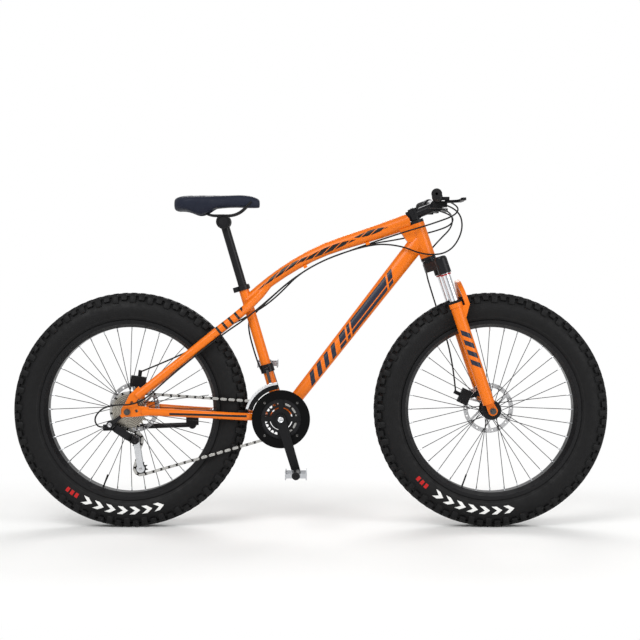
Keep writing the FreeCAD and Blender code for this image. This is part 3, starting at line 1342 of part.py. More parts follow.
def arc_plate(inner_r, outer_r, y0, y1, start, stop):
    edge = [BB + polar(start, inner_r, y0), BB + polar(start, outer_r, y0)]
    wide = LEFT * (y1 - y0)
    face = Part.Face(Part.makePolygon([edge[0], edge[1], edge[1] + wide, edge[0] + wide, edge[0]]))
    return face.revolve(BB, LEFT, start - stop)


def caliper_spot(axle, back, high, turn):
    a = math.radians(turn)
    return axle + (back * math.cos(a) + high * math.sin(a)) * CALIPER_R


def caliper(axle, back, high, turn, rotor_y):
    a = math.radians(turn)
    radial = back * math.cos(a) + high * math.sin(a)
    low = rotor_y - CALIPER_IN
    spot = caliper_spot(axle, back, high, turn) + LEFT * (low + CALIPER_W / 2)
    body = block(spot, radial.cross(LEFT), LEFT, radial, 2 * CALIPER_HALF_L, CALIPER_W, 2 * CALIPER_HALF_H)
    slot = across(ROTOR_R + ROTOR_CLEAR, axle, rotor_y - ROTOR_CLEAR, rotor_y + ROTOR_T + ROTOR_CLEAR)
    pivot = caliper_spot(axle, back, high, turn)
    pin = across(CALIPER_PIN_R, pivot, low + CALIPER_W, low + CALIPER_W + GAP + CALIPER_ARM_T)
    return fuse(body.cut(slot), pin)


def caliper_arm(axle, back, high, turn, rotor_y):
    a = math.radians(turn)
    radial = back * math.cos(a) + high * math.sin(a)
    low = rotor_y - CALIPER_IN + CALIPER_W + GAP
    pivot = caliper_spot(axle, back, high, turn)
    eye = across(CALIPER_PIN_R * CALIPER_EYE_SHARE, pivot, low, low + CALIPER_ARM_T)
    middle = pivot + radial * (CALIPER_ARM_L / 2) + LEFT * (low + CALIPER_ARM_T / 2)
    arm = block(middle, radial, LEFT, radial.cross(LEFT), CALIPER_ARM_L, CALIPER_ARM_T, CALIPER_ARM_W)
    return fuse(eye, arm).cut(across(CALIPER_PIN_R + RUN_FIT, pivot, low, low + CALIPER_ARM_T))


def arm_end(axle, back, high, turn, rotor_y):
    a = math.radians(turn)
    radial = back * math.cos(a) + high * math.sin(a)
    y = rotor_y - CALIPER_IN + CALIPER_W + GAP + CALIPER_ARM_T / 2
    return caliper_spot(axle, back, high, turn) + radial * (CALIPER_ARM_L - CALIPER_ARM_W / 2) + LEFT * y


FRONT_BRAKE = (FRONT_AXLE, STEER_FWD * -1, STEER_UP, FRONT_CALIPER_TURN, FRONT_ROTOR_Y)
REAR_BRAKE = (REAR_AXLE, FORWARD, UPWARD, REAR_CALIPER_TURN, REAR_ROTOR_Y)


def front_caliper():
    spot = caliper_spot(*FRONT_BRAKE[:4])
    outer = FRONT_ROTOR_Y - CALIPER_IN + CALIPER_W
    reach = STEER_FWD.dot(LEG_AXIS_TOP - steer(0, 0, 0)) - STEER_FWD.dot(spot - steer(0, 0, 0))
    middle = spot + STEER_FWD * (reach / 2) + LEFT * (outer - CALIPER_TAB_T / 2)
    tab = block(middle, STEER_FWD, LEFT, STEER_UP, reach, CALIPER_TAB_T, CALIPER_TAB_H)
    return fuse(caliper(*FRONT_BRAKE), tab).cut(LEG_SOLID)


def rear_caliper():
    base = REAR_AXLE + V(REAR_TAB_AHEAD, 0, REAR_TAB_UP)
    inner = REAR_ROTOR_Y - CALIPER_IN + CALIPER_W - CALIPER_TAB_T
    outer = REAR_OLD / 2
    tab = block(base + LEFT * ((inner + outer) / 2), FORWARD, LEFT, UPWARD,
                REAR_TAB_L, outer - inner, REAR_TAB_H)
    return fuse(caliper(*REAR_BRAKE), tab)


POST_HEAD = seat(0, 0, SEAT_L + POST_OUT)


def saddle():
    nose = POST_HEAD.x + SADDLE_L * SADDLE_AHEAD_SHARE
    wires = []
    for (along, wide), top, deep in zip(SADDLE_WIDTH_SHARES, SADDLE_TOP_SHARES, SADDLE_DEEP_SHARES):
        x = nose - SADDLE_L * (1 - along)
        half = [(SADDLE_W / 2 * wide * y, SADDLE_H * (top + deep * z)) for y, z in SADDLE_OUTLINE_SHARES]
        outline = half + [(-y, z) for y, z in reversed(half[1:-1])]
        curve = Part.BSplineCurve()
        curve.interpolate(Points=[V(x, y, SADDLE_TOP + z) for y, z in outline], PeriodicFlag=True)
        wires.append(Part.Wire(curve.toShape()))
    return Part.makeLoft(wires, True)


def saddle_rails():
    """Both rails with the two cradle rings that grip the post's head."""
    low = POST_HEAD + UPWARD * (CRADLE_R - RAIL_R)
    points = []
    for along, climb in RAIL_SPAN_SHARES:
        points.append(low + V(SADDLE_L * along, RAIL_Y, RAIL_CLIMB * climb))
    bar = rod(points, RAIL_R).cut(saddle())
    cradle = across(CRADLE_R, POST_HEAD, RAIL_Y - CRADLE_W / 2, RAIL_Y + CRADLE_W / 2)
    left = fuse(largest(bar), cradle).cut(across(POST_HEAD_R + RUN_FIT, POST_HEAD, 0, SADDLE_W))
    return group([left, mirrored(left)])


KICK_STAY = between(CHAINSTAY_POINTS[0], CHAINSTAY_POINTS[-1], KICK_ALONG_SHARE)
KICK_PIVOT = V(KICK_STAY.x, STAY_CLEAR_Y + KICK_OUT, KICK_STAY.z - KICK_DROP)


def kickstand_bracket():
    """Plate hung under the left chainstay with the leg's pivot pin."""
    outer = KICK_PIVOT.y - KICK_BARREL_W / 2 - GAP
    high = KICK_STAY.z - KICK_PIVOT.z
    plate_y = outer - KICK_T / 2
    web = block(V(KICK_STAY.x, plate_y, KICK_STAY.z - high / 2), FORWARD, LEFT, UPWARD, KICK_W, KICK_T, high)
    foot = across(KICK_PIVOT_R, V(KICK_PIVOT.x, 0, KICK_PIVOT.z), outer - KICK_T, outer)
    pin = across(KICK_PIN_R, V(KICK_PIVOT.x, 0, KICK_PIVOT.z), outer, KICK_PIVOT.y + KICK_BARREL_W / 2)
    widths = [CHAINSTAY_HALF_W for point in CHAINSTAY_POINTS]
    heights = [CHAINSTAY_HALF_H for point in CHAINSTAY_POINTS]
    return largest(fuse(web, foot, pin).cut(tube(CHAINSTAY_POINTS, widths, heights)))


def kickstand_leg():
    back = polar(KICK_TILT, -1, 0)
    half = LEFT * (KICK_BARREL_W / 2)
    barrel = cyl(KICK_PIVOT_R, KICK_PIVOT - half, KICK_PIVOT + half)
    leg = cyl(KICK_LEG_R, KICK_PIVOT, KICK_PIVOT + back * KICK_L)
    foot = cyl(KICK_FOOT_R, KICK_PIVOT + back * (KICK_L - KICK_FOOT_L), KICK_PIVOT + back * KICK_L)
    pin = across(KICK_PIN_R + RUN_FIT, V(KICK_PIVOT.x, 0, KICK_PIVOT.z), 0, REAR_OLD)
    return fuse(barrel, leg, foot).cut(pin)


def under_top(share, y):
    """A cable's place under the top tube at a share of its chord from the seat."""
    line = Part.BSplineCurve()
    line.interpolate(TOP_POINTS)
    u = line.FirstParameter + (line.LastParameter - line.FirstParameter) * share
    along = V(line.tangent(u)[0])
    half = TOP_REAR_HALF_H + (TOP_FRONT_HALF_H - TOP_REAR_HALF_H) * share
    return line.value(u) - V(-along.z, 0, along.x) * (half + CABLE_R + CABLE_LIFT) + LEFT * y


def loop_points(origin, shares):
    return [origin + V(x, y, z) * CABLE_SPAN for x, y, z in shares]


def stay_side(i, side, out, below):
    """A cable's place beside or below seatstay point i."""
    point = SEATSTAY_POINTS[i]
    along = SEATSTAY_POINTS[4] - SEATSTAY_POINTS[0]
    along.y = 0
    along.normalize()
    reach = SEATSTAY_HALF_H + CABLE_R + CABLE_LIFT
    wide = SEATSTAY_HALF_W + CABLE_R + CABLE_LIFT
    return V(point.x, side * (point.y + out * wide), point.z) - V(-along.z, 0, along.x) * (below * reach)


def rear_shift_points():
    start = grip_frame(POD_IN + POD_W - PERCH_W / 2, POD_AHEAD, -POD_R)
    run = [under_top(share, -CABLE_SIDE) for share in GUIDE_SHARES]
    passing = seat(0, -SEAT_R - CABLE_SPREAD, SEATSTAY_PASS_UP - CABLE_PASS)
    stay = [passing, stay_side(3, -1, 0, 1), stay_side(1, -1, 0, 1)]
    tail = loop_points(REAR_AXLE, TAIL_LOOP_SHARES)
    front = [start] + loop_points(BAR_MIDDLE, SHIFT_LOOP_SHARES)
    return front + run + stay + tail + [HANGER + LEFT * LINK_MID_Y]


def rear_brake_points():
    start = grip_frame(PERCH_IN + PERCH_W / 2, LEVER_AHEAD / 2, -LEVER_DROP / 2)
    run = [under_top(share, CABLE_SIDE) for share in GUIDE_SHARES]
    passing = loop_points(seat(0, 0, SEATSTAY_PASS_UP), BRAKE_PASS_SHARES)
    stay = passing + [stay_side(i, 1, BRAKE_STAY_SHARE, 0) for i in (3, 2)]
    return [start] + loop_points(BAR_MIDDLE, BRAKE_LOOP_SHARES) + run + stay + [arm_end(*REAR_BRAKE)]


def front_shift_points():
    start = grip_frame(POD_IN + POD_W - PERCH_W / 2, POD_AHEAD, -POD_R)
    start.y = -start.y
    run = [under_top(share, 0) for share in GUIDE_SHARES]
    side = SEAT_R + CABLE_SPREAD
    drop = [seat(0, side, SEATSTAY_PASS_UP - CABLE_PASS),
            seat(-side, side / 2, SEATSTAY_PASS_UP - 2 * CABLE_PASS),
            seat(-side, -side / 4, FD_UP + CABLE_PASS), seat(-FD_BODY_R + CABLE_R, -side / 4, FD_UP)]
    return [start] + loop_points(BAR_MIDDLE, CLUTCH_LOOP_SHARES) + run + drop


def front_brake_points():
    start = grip_frame(PERCH_IN + PERCH_W / 2, LEVER_AHEAD / 2, -LEVER_DROP / 2)
    start.y = -start.y
    back = LEG_AHEAD - LEG_R - CABLE_PASS
    leg = [steer(back, LEG_Y, LEG_TOP), steer(back, LEG_Y, LEG_FLOOR * 2)]
    return [start] + loop_points(BAR_MIDDLE, FRONT_LOOP_SHARES) + leg + [arm_end(*FRONT_BRAKE)]


def frame_cables():
    shift = largest(rod(rear_shift_points(), CABLE_R).cut(rear_derailleur_bracket()).cut(bar_controls()))
    brake = largest(rod(rear_brake_points(), CABLE_R).cut(caliper_arm(*REAR_BRAKE)).cut(bar_controls()))
    clutch = largest(rod(front_shift_points(), CABLE_R).cut(front_derailleur_body()).cut(bar_controls()))
    return group([shift, brake, clutch])


def front_brake_cable():
    return largest(rod(front_brake_points(), CABLE_R).cut(caliper_arm(*FRONT_BRAKE)).cut(bar_controls()))


def cable_guides():
    """Blocks under the top tube and on the stays that hold the cables."""
    routes = (rear_shift_points(), rear_brake_points(), front_shift_points())
    run = group([rod(points, CABLE_R) for points in routes])
    pieces = []
    for share in GUIDE_SHARES:
        spot = under_top(share, 0)
        ahead = under_top(share + GUIDE_STEP_SHARE, 0) - spot
        ahead.normalize()
        above = ahead.cross(LEFT)
        holder = block(spot + above * CABLE_LIFT, ahead, LEFT, above, GUIDE_L, GUIDE_W, GUIDE_H)
        pieces.append(largest(holder.cut(TOP_SOLID).cut(run)))
    return group(pieces)


NODES = [
    ("head_tube", head_tube), ("top_tube", top_tube), ("down_tube", down_tube), ("seat_tube", seat_tube),
    ("stays", stays), ("dropouts", dropouts), ("bearing_cups", bearing_cups), ("seat_clamp", seat_clamp),
    ("seat_clamp_lever", seat_clamp_lever), ("seatpost", seatpost), ("saddle", saddle),
    ("saddle_rails", saddle_rails), ("kickstand_bracket", kickstand_bracket),
    ("kickstand_leg", kickstand_leg), ("cable_guides", cable_guides), ("fork_crown", fork_crown),
    ("stanchions", stanchions), ("fork_lowers", fork_lowers), ("stem", stem), ("handlebar", handlebar),
    ("grips", grips), ("bar_controls", bar_controls), ("brake_lever_right", brake_lever),
    ("brake_lever_left", lambda: mirrored(brake_lever())), ("shift_lever_right", shift_lever),
    ("shift_lever_left", lambda: mirrored(shift_lever())), ("front_axle", front_axle),
    ("rear_axle", rear_axle), ("front_hub", front_hub), ("rear_hub", rear_hub),
    ("front_rim", lambda: rim(FRONT_AXLE)), ("rear_rim", lambda: rim(REAR_AXLE)),
    ("front_tyre", lambda: tyre(FRONT_AXLE)), ("rear_tyre", lambda: tyre(REAR_AXLE)),
    ("front_spokes", lambda: spokes(FRONT_AXLE, FRONT_FLANGES, front_hub(), rim(FRONT_AXLE))),
    ("rear_spokes", lambda: spokes(REAR_AXLE, REAR_FLANGES, rear_hub(), rim(REAR_AXLE))),
    ("front_rotor", lambda: rotor(FRONT_AXLE, FRONT_ROTOR_Y)),
    ("rear_rotor", lambda: rotor(REAR_AXLE, REAR_ROTOR_Y)), ("front_caliper", front_caliper),
    ("front_caliper_arm", lambda: caliper_arm(*FRONT_BRAKE)), ("rear_caliper", rear_caliper),
    ("rear_caliper_arm", lambda: caliper_arm(*REAR_BRAKE)), ("sprockets", sprockets),
    ("chainrings", chainrings), ("crank_right", crank_right), ("crank_left", crank_left),
    ("pedal_right", lambda: pedal(-1)), ("pedal_left", lambda: pedal(1)), ("chain", chain),
    ("rear_derailleur_bracket", rear_derailleur_bracket),
    ("rear_derailleur_outer_link", lambda: derailleur_link(LINK_OUTER_Y)),
    ("rear_derailleur_inner_link", lambda: derailleur_link(LINK_INNER_Y)),
    ("rear_derailleur_knuckle", rear_derailleur_knuckle), ("rear_derailleur_cage", rear_derailleur_cage),
    ("upper_pulley", lambda: jockey(UPPER_PULLEY)), ("lower_pulley", lambda: jockey(LOWER_PULLEY)),
    ("front_derailleur_body", front_derailleur_body), ("front_derailleur_cage", front_derailleur_cage),
    ("frame_cables", frame_cables), ("front_brake_cable", front_brake_cable),
]

os.makedirs("parts", exist_ok=True)
for name, make in NODES:
    shape = make()
    shape.exportStep("parts/%s.step" % name)
    print(name, shape.isValid(), len(shape.Solids), round(shape.Volume))
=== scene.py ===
import math

import bmesh
import bpy
from mathutils import Matrix, Vector


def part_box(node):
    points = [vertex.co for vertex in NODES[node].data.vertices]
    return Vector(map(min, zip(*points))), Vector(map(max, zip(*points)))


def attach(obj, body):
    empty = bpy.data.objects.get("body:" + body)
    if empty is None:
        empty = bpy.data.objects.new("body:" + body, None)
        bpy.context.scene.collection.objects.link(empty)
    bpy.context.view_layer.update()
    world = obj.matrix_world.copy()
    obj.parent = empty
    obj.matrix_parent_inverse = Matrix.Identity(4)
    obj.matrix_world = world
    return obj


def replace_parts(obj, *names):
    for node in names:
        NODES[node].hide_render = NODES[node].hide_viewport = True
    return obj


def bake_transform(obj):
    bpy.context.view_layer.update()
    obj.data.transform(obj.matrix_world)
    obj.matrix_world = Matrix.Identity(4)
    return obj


# Metres, +X forward, +Y to the rider's left, +Z up, as the CAD frame has it.
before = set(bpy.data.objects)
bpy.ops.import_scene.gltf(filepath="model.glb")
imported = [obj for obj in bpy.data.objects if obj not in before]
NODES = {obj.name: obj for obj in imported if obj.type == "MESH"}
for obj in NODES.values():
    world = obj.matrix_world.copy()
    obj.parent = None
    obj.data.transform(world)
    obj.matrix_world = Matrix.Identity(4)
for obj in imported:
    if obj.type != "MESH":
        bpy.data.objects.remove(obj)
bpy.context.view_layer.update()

FULL_TURN = 2 * math.pi
CENTRE = Vector((0, 0, 0))
FORWARD = Vector((1, 0, 0))
LEFT = Vector((0, 1, 0))
UP = Vector((0, 0, 1))

# Places on the bike

FRONT_AXLE = Vector((0.569, 0, 0.370))
REAR_AXLE = Vector((-0.569, 0, 0.370))
BOTTOM_BRACKET = Vector((-0.093, 0, 0.345))
HEAD_JOIN = Vector((0.351, 0, 0.914))
BAR_CLAMP = Vector((0.398, 0, 1.015))
BAR_END = Vector((0.372, -0.330, 1.031))
BAR_BEND = Vector((0.392, -0.120, 1.031))
STEER_UP = Vector((-0.3173, 0, 0.9483))
STEER_FWD = Vector((0.9483, 0, 0.3173))
STEER_OFFSET = 0.034
STEER_FOOT = FRONT_AXLE - STEER_FWD * STEER_OFFSET
LEG_AHEAD = 0.029
LEG_FOOT = STEER_FOOT + STEER_FWD * LEG_AHEAD
LEG_Y = 0.076
FRONT_CALIPER = Vector((0.493, 0, 0.406))
REAR_CALIPER = Vector((-0.557, 0, 0.453))
HANGER = Vector((-0.623, 0, 0.330))
UPPER_PULLEY = Vector((-0.547, 0, 0.280))
LOWER_PULLEY = Vector((-0.5325, 0, 0.189))
RIGHT_PEDAL = Vector((-0.0444, 0, 0.1821))
LEFT_PEDAL = Vector((-0.1416, 0, 0.5079))
CHAIN_Y = -0.058

# Wheel sizes

WHEEL_R = 0.370
RIM_R = 0.283
RIM_INNER_R = 0.261
TYRE_HALF_W = 0.049
LUG_H = 0.006
LUG_ROUND = 0.0012
LUG_PITCHES = 80
TYRE_STEPS = 128
SPOKES = 36
SPOKE_RIM_Y = 0.006


# Finishes

EDGE_ROUND = 0.0012
SHEEN = 0.2
COAT_ROUGHNESS = 0.2

ORANGE = (226, 112, 12)
DEEP_ORANGE = (196, 90, 8)
NAVY = (33, 38, 54)
INK = (24, 22, 24)
PALE = (228, 228, 226)
RED = (178, 30, 30)


def linear(colour):
    """A display colour of 0 to 255 per channel as the shader wants it."""
    shares = [c / 255 for c in colour]
    return [s / 12.92 if s <= 0.04045 else ((s + 0.055) / 1.055) ** 2.4 for s in shares]


class Finish:
    """A node material on object coordinates, built up step by step."""

    def __init__(self, name, colour, roughness, metallic=0.0, coat=0.0):
        self.material = bpy.data.materials.new(name)
        self.material.use_nodes = True
        self.tree = self.material.node_tree
        self.shader = self.tree.nodes["Principled BSDF"]
        self.colour = (*linear(colour), 1)
        self.shader.inputs["Base Color"].default_value = self.colour
        self.shader.inputs["Roughness"].default_value = roughness
        self.shader.inputs["Metallic"].default_value = metallic
        self.shader.inputs["Coat Weight"].default_value = coat
        self.shader.inputs["Coat Roughness"].default_value = COAT_ROUGHNESS
        self.shader.inputs["Specular IOR Level"].default_value = SHEEN
        self.place = self.add("TexCoord").outputs["Object"]

    def add(self, kind, *values, **settings):
        """A node with its inputs, in order, linked or set."""
        node = self.tree.nodes.new("ShaderNode" + kind)
        for name, value in settings.items():
            setattr(node, name, value)
        for socket, value in zip(node.inputs, values):
            self.give(socket, value)
        return node

    def give(self, socket, value):
        if isinstance(value, bpy.types.NodeSocket):
            self.tree.links.new(value, socket)
        else:
            socket.default_value = value

    def maths(self, operation, *values):
        return self.add("Math", *values, operation=operation).outputs[0]

    def along(self, direction, origin=CENTRE):
        """Distance from the origin along a direction."""
        dot = self.add("VectorMath", self.place, tuple(direction), operation="DOT_PRODUCT")
        return self.maths("SUBTRACT", dot.outputs["Value"], direction.dot(origin))

    def reach(self, axle):
        """Distance from an axle."""
        x = self.along(FORWARD, axle)
        z = self.along(UP, axle)
        squares = self.maths("ADD", self.maths("MULTIPLY", x, x), self.maths("MULTIPLY", z, z))
        return self.maths("SQRT", squares)

    def turn(self, axle):
        """Angle about an axle in degrees, from 0 straight ahead round to 360."""
        angle = self.maths("ARCTAN2", self.along(UP, axle), self.along(FORWARD, axle))
        degrees = self.maths("MULTIPLY", angle, math.degrees(1))
        return self.maths("MODULO", self.maths("ADD", degrees, 360.0), 360.0)

    def noise(self, scale, detail=3.0):
        node = self.add("TexNoise")
        self.give(node.inputs["Vector"], self.place)
        self.give(node.inputs["Scale"], scale)
        self.give(node.inputs["Detail"], detail)
        return node.outputs["Fac"]

    def between(self, value, low, high):
        above = self.maths("GREATER_THAN", value, low)
        below = self.maths("LESS_THAN", value, high)
        return self.maths("MULTIPLY", above, below)

    def joined(self, operation, masks):
        total = masks[0]
        for mask in masks[1:]:
            total = self.maths(operation, total, mask)
        return total

    def all_of(self, *masks):
        return self.joined("MULTIPLY", masks)

    def any_of(self, *masks):
        return self.joined("MAXIMUM", masks)

    def tint(self, mask, colour):
        """Lays a colour over the finish where the mask is 1."""
        mix = self.add("Mix", data_type="RGBA")
        self.give(mix.inputs["Factor"], mask)
        self.give(mix.inputs[6], self.colour)
        self.give(mix.inputs[7], (*linear(colour), 1))
        self.colour = mix.outputs[2]
        self.give(self.shader.inputs["Base Color"], self.colour)

    def mottle(self, colour, scale, share):
        """A soft uneven tone over the base colour."""
        self.tint(self.maths("MULTIPLY", self.noise(scale), share), colour)

    def wear(self, scale, low, high):
        """Roughness that varies over the surface."""
        spread = self.add("MapRange", self.noise(scale), 0.3, 0.7, low, high)
        self.give(self.shader.inputs["Roughness"], spread.outputs[0])

    def bump(self, height, strength, distance):
        """Fine relief over edges that catch the light as slightly rounded ones do."""
        soft = self.add("Bevel", EDGE_ROUND, samples=4)
        node = self.add("Bump")
        self.give(node.inputs["Normal"], soft.outputs["Normal"])
        self.give(node.inputs["Strength"], strength)
        self.give(node.inputs["Distance"], distance)
        self.give(node.inputs["Height"], height)
        self.give(self.shader.inputs["Normal"], node.outputs["Normal"])


def plain(name, colour, roughness, metallic=0.0, coat=0.0, grain=300.0, depth=0.08, tone=None):
    """One material all over, with a fine grain and a little wear."""
    look = Finish(name, colour, roughness, metallic, coat)
    if tone:
        look.mottle(tone, scale=14.0, share=0.35)
    look.wear(scale=40.0, low=roughness * 0.85, high=roughness * 1.2)
    look.bump(look.noise(grain), strength=depth, distance=0.0005)
    return look


def brushed(name, colour, roughness, axle):
    """Metal turned or ground in rings about an axle."""
    look = Finish(name, colour, roughness, metallic=1.0)
    rings = look.add("TexNoise", noise_dimensions="1D")
    look.give(rings.inputs["W"], look.maths("MULTIPLY", look.reach(axle), 900.0))
    look.wear(scale=30.0, low=roughness * 0.8, high=roughness * 1.3)
    look.bump(rings.outputs["Fac"], strength=0.06, distance=0.0004)
    return look


# Frame paint

def orange_paint(name):
    paint = Finish(name, ORANGE, roughness=0.36, coat=0.2)
    paint.mottle(DEEP_ORANGE, scale=9.0, share=0.18)
    paint.wear(scale=12.0, low=0.32, high=0.40)
    return paint


def bars(paint, along, across, starts, length, slant, half_height):
    """Slanted bars across a tube's side."""
    lean = paint.maths("SUBTRACT", along, paint.maths("MULTIPLY", across, slant))
    inside = paint.between(across, -half_height, half_height)
    strips = [paint.between(lean, start, start + length) for start in starts]
    return paint.all_of(inside, paint.any_of(*strips))


DOWN_TUBE_SLANT = 0.9
STEP_STARTS = [0.150, 0.186, 0.222, 0.258]
STEP_L = 0.020
STEP_HALF_H = 0.016
PANEL_START = 0.300
PANEL_L = 0.270
PANEL_HALF_H = 0.017
SLIT_STARTS = [0.330, 0.352, 0.540]
SLIT_L = 0.008
GROOVE = (-0.0075, -0.0045)


def down_tube_paint():
    """A dark panel with orange slits, and dark steps below it."""
    paint = orange_paint("down_tube_paint")
    line = (HEAD_JOIN - BOTTOM_BRACKET).normalized()
    along = paint.along(line, BOTTOM_BRACKET)
    across = paint.along(line.cross(LEFT), BOTTOM_BRACKET)
    steps = bars(paint, along, across, STEP_STARTS, STEP_L, DOWN_TUBE_SLANT, STEP_HALF_H)
    panel = bars(paint, along, across, [PANEL_START], PANEL_L, DOWN_TUBE_SLANT, PANEL_HALF_H)
    slits = bars(paint, along, across, SLIT_STARTS, SLIT_L, DOWN_TUBE_SLANT, PANEL_HALF_H)
    groove = paint.all_of(panel, paint.between(across, *GROOVE))
    paint.tint(paint.any_of(steps, panel), NAVY)
    paint.tint(paint.any_of(groove, slits), ORANGE)
    return paint


# Points (x, z) on the top tube's middle line, and streaks of (x, half length, lift, half height).
TOP_TUBE_LINE = [(-0.18, 0.73288), (-0.02, 0.84536), (0.14, 0.90999), (0.30, 0.96248)]
STREAKS = [(-0.085, 0.085, 0.003, 0.008), (0.055, 0.090, -0.003, 0.009), (0.190, 0.055, 0.004, 0.008)]
STREAK_SLANT = 1.6
STREAK_PITCH = 0.034
STREAK_GAP = 0.005
STREAK_OUT = 0.006


def curve_through(paint, x, points):
    """The height at x of the smooth curve through a few points, in Newton's form."""
    starts = [start for start, height in points]
    slopes = [height for start, height in points]
    for order in range(1, len(points)):
        for i in range(len(points) - 1, order - 1, -1):
            slopes[i] = (slopes[i] - slopes[i - 1]) / (starts[i] - starts[i - order])
    height = slopes.pop()
    for start, slope in reversed(list(zip(starts, slopes))):
        height = paint.maths("MULTIPLY_ADD", height, paint.maths("SUBTRACT", x, start), slope)
    return height


def top_tube_paint():
    """Slim dark streaks that follow the tube's curve, each cut by slanted gaps."""
    paint = orange_paint("top_tube_paint")
    x = paint.along(FORWARD)
    across = paint.maths("SUBTRACT", paint.along(UP), curve_through(paint, x, TOP_TUBE_LINE))
    side = paint.maths("GREATER_THAN", paint.maths("ABSOLUTE", paint.along(LEFT)), STREAK_OUT)
    slanted = paint.maths("MULTIPLY", across, STREAK_SLANT)
    lean = paint.maths("SUBTRACT", paint.along(FORWARD, -FORWARD), slanted)
    solid = paint.maths("GREATER_THAN", paint.maths("MODULO", lean, STREAK_PITCH), STREAK_GAP)
    marks = []
    for middle, half_length, lift, half_height in STREAKS:
        share = paint.maths("DIVIDE", paint.maths("SUBTRACT", x, middle), half_length)
        square = paint.maths("MULTIPLY", share, share)
        taper = paint.maths("MULTIPLY_ADD", square, -half_height, half_height)
        off = paint.maths("ABSOLUTE", paint.maths("SUBTRACT", across, lift))
        marks.append(paint.maths("LESS_THAN", off, taper))
    paint.tint(paint.all_of(paint.any_of(*marks), solid, side), INK)
    return paint


SEATSTAY_LINE = Vector((0.77, 0, 0.63))
BAND_PITCH = 0.024
BAND_L = 0.008
BANDS_X = (-0.300, -0.215)
BANDS_LOW = 0.60
CHAINSTAY_ACROSS = Vector((0.036, 0, 1)).normalized()
CHAINSTAY_MIDDLE = Vector((-0.307, 0, 0.358))
CHAINSTAY_HIGH = 0.40
STRIPE_X = (-0.440, -0.200)
STRIPE_Z = (-0.004, 0.003)


def stay_paint():
    """Bands round the tops of the seatstays and a stripe along each chainstay."""
    paint = orange_paint("stay_paint")
    x = paint.along(FORWARD)
    z = paint.along(UP)
    high = paint.maths("GREATER_THAN", z, BANDS_LOW)
    steps = paint.maths("MODULO", paint.along(SEATSTAY_LINE, -FORWARD), BAND_PITCH)
    bands = paint.all_of(high, paint.maths("LESS_THAN", steps, BAND_L), paint.between(x, *BANDS_X))
    low = paint.maths("LESS_THAN", z, CHAINSTAY_HIGH)
    middle = paint.between(paint.along(CHAINSTAY_ACROSS, CHAINSTAY_MIDDLE), *STRIPE_Z)
    stripe = paint.all_of(low, paint.between(x, *STRIPE_X), middle)
    paint.tint(paint.any_of(bands, stripe), INK)
    return paint


HANGER_START = 0.0245
HANGER_BLACK = (17, 17, 19)


def dropout_paint():
    """Orange plates with a black derailleur hanger."""
    paint = orange_paint("dropout_paint")
    along = paint.along((HANGER - REAR_AXLE).normalized(), REAR_AXLE)
    paint.tint(paint.maths("GREATER_THAN", along, HANGER_START), HANGER_BLACK)
    return paint


FORK_BAR_STARTS = [0.150, 0.182, 0.214, 0.246]
FORK_BAR_L = 0.018
FORK_BAR_SLANT = -0.8
FORK_BAR_HALF_H = 0.013
FORK_BAR_OUT = 0.078


def fork_paint():
    """Dark slanted bars on the outside of each leg."""
    paint = orange_paint("fork_leg_paint")
    along = paint.along(STEER_UP, FRONT_AXLE)
    across = paint.along(STEER_FWD, LEG_FOOT)
    outside = paint.maths("GREATER_THAN", paint.maths("ABSOLUTE", paint.along(LEFT)), FORK_BAR_OUT)
    marks = bars(paint, along, across, FORK_BAR_STARTS, FORK_BAR_L, FORK_BAR_SLANT, FORK_BAR_HALF_H)
    paint.tint(paint.all_of(marks, outside), NAVY)
    return paint


# Tyre, drive and pedal finishes. Lengths round a tyre's sidewall print are in degrees.

PRINT_R = 0.3150
CHEVRON_HALF_H = 0.0120
CHEVRON_LEAN = 260.0
CHEVRON_PITCH = 7.0
CHEVRON_L = 3.0
CHEVRONS_AFTER = 12.0
BLOCK_HALF_H = 0.0075
BLOCK_PITCH = 3.0
BLOCK_L = 1.9
BLOCKS_L = 9.0
BEAD_LINE = (0.2935, 0.2943)


def tyre_rubber(name, axle, first, last):
    """Black rubber with a band of pale chevrons and red blocks printed on the sidewall."""
    rubber = Finish(name, (13, 13, 14), roughness=0.60)
    turn = rubber.turn(axle)
    reach = rubber.reach(axle)
    off = rubber.maths("ABSOLUTE", rubber.maths("SUBTRACT", reach, PRINT_R))
    lean = rubber.maths("MULTIPLY_ADD", off, CHEVRON_LEAN, turn)
    strokes = rubber.maths("LESS_THAN", rubber.maths("MODULO", lean, CHEVRON_PITCH), CHEVRON_L)
    chevrons = rubber.all_of(rubber.maths("LESS_THAN", off, CHEVRON_HALF_H), strokes,
                             rubber.between(lean, first + CHEVRONS_AFTER, last))
    squares = rubber.maths("LESS_THAN", rubber.maths("MODULO", turn, BLOCK_PITCH), BLOCK_L)
    blocks = rubber.all_of(rubber.maths("LESS_THAN", off, BLOCK_HALF_H), squares,
                           rubber.between(turn, first, first + BLOCKS_L))
    rubber.mottle((24, 24, 25), scale=22.0, share=0.4)
    rubber.tint(rubber.between(reach, *BEAD_LINE), (34, 34, 35))
    rubber.tint(chevrons, PALE)
    rubber.tint(blocks, RED)
    rubber.wear(scale=60.0, low=0.50, high=0.70)
    rubber.bump(rubber.noise(900.0, detail=2.0), strength=0.2, distance=0.0005)
    return rubber


PEDAL_BARREL_R = 0.0128


def pedal_look(name, axle):
    """Bright cage round a dark barrel."""
    look = plain(name, (200, 202, 206), roughness=0.32, metallic=1.0, tone=(164, 166, 170))
    barrel = look.maths("LESS_THAN", look.reach(axle), PEDAL_BARREL_R)
    look.tint(barrel, (22, 22, 24))
    look.give(look.shader.inputs["Metallic"], look.maths("SUBTRACT", 1.0, barrel))
    return look


INNER_LINK_HALF_W = 0.0022


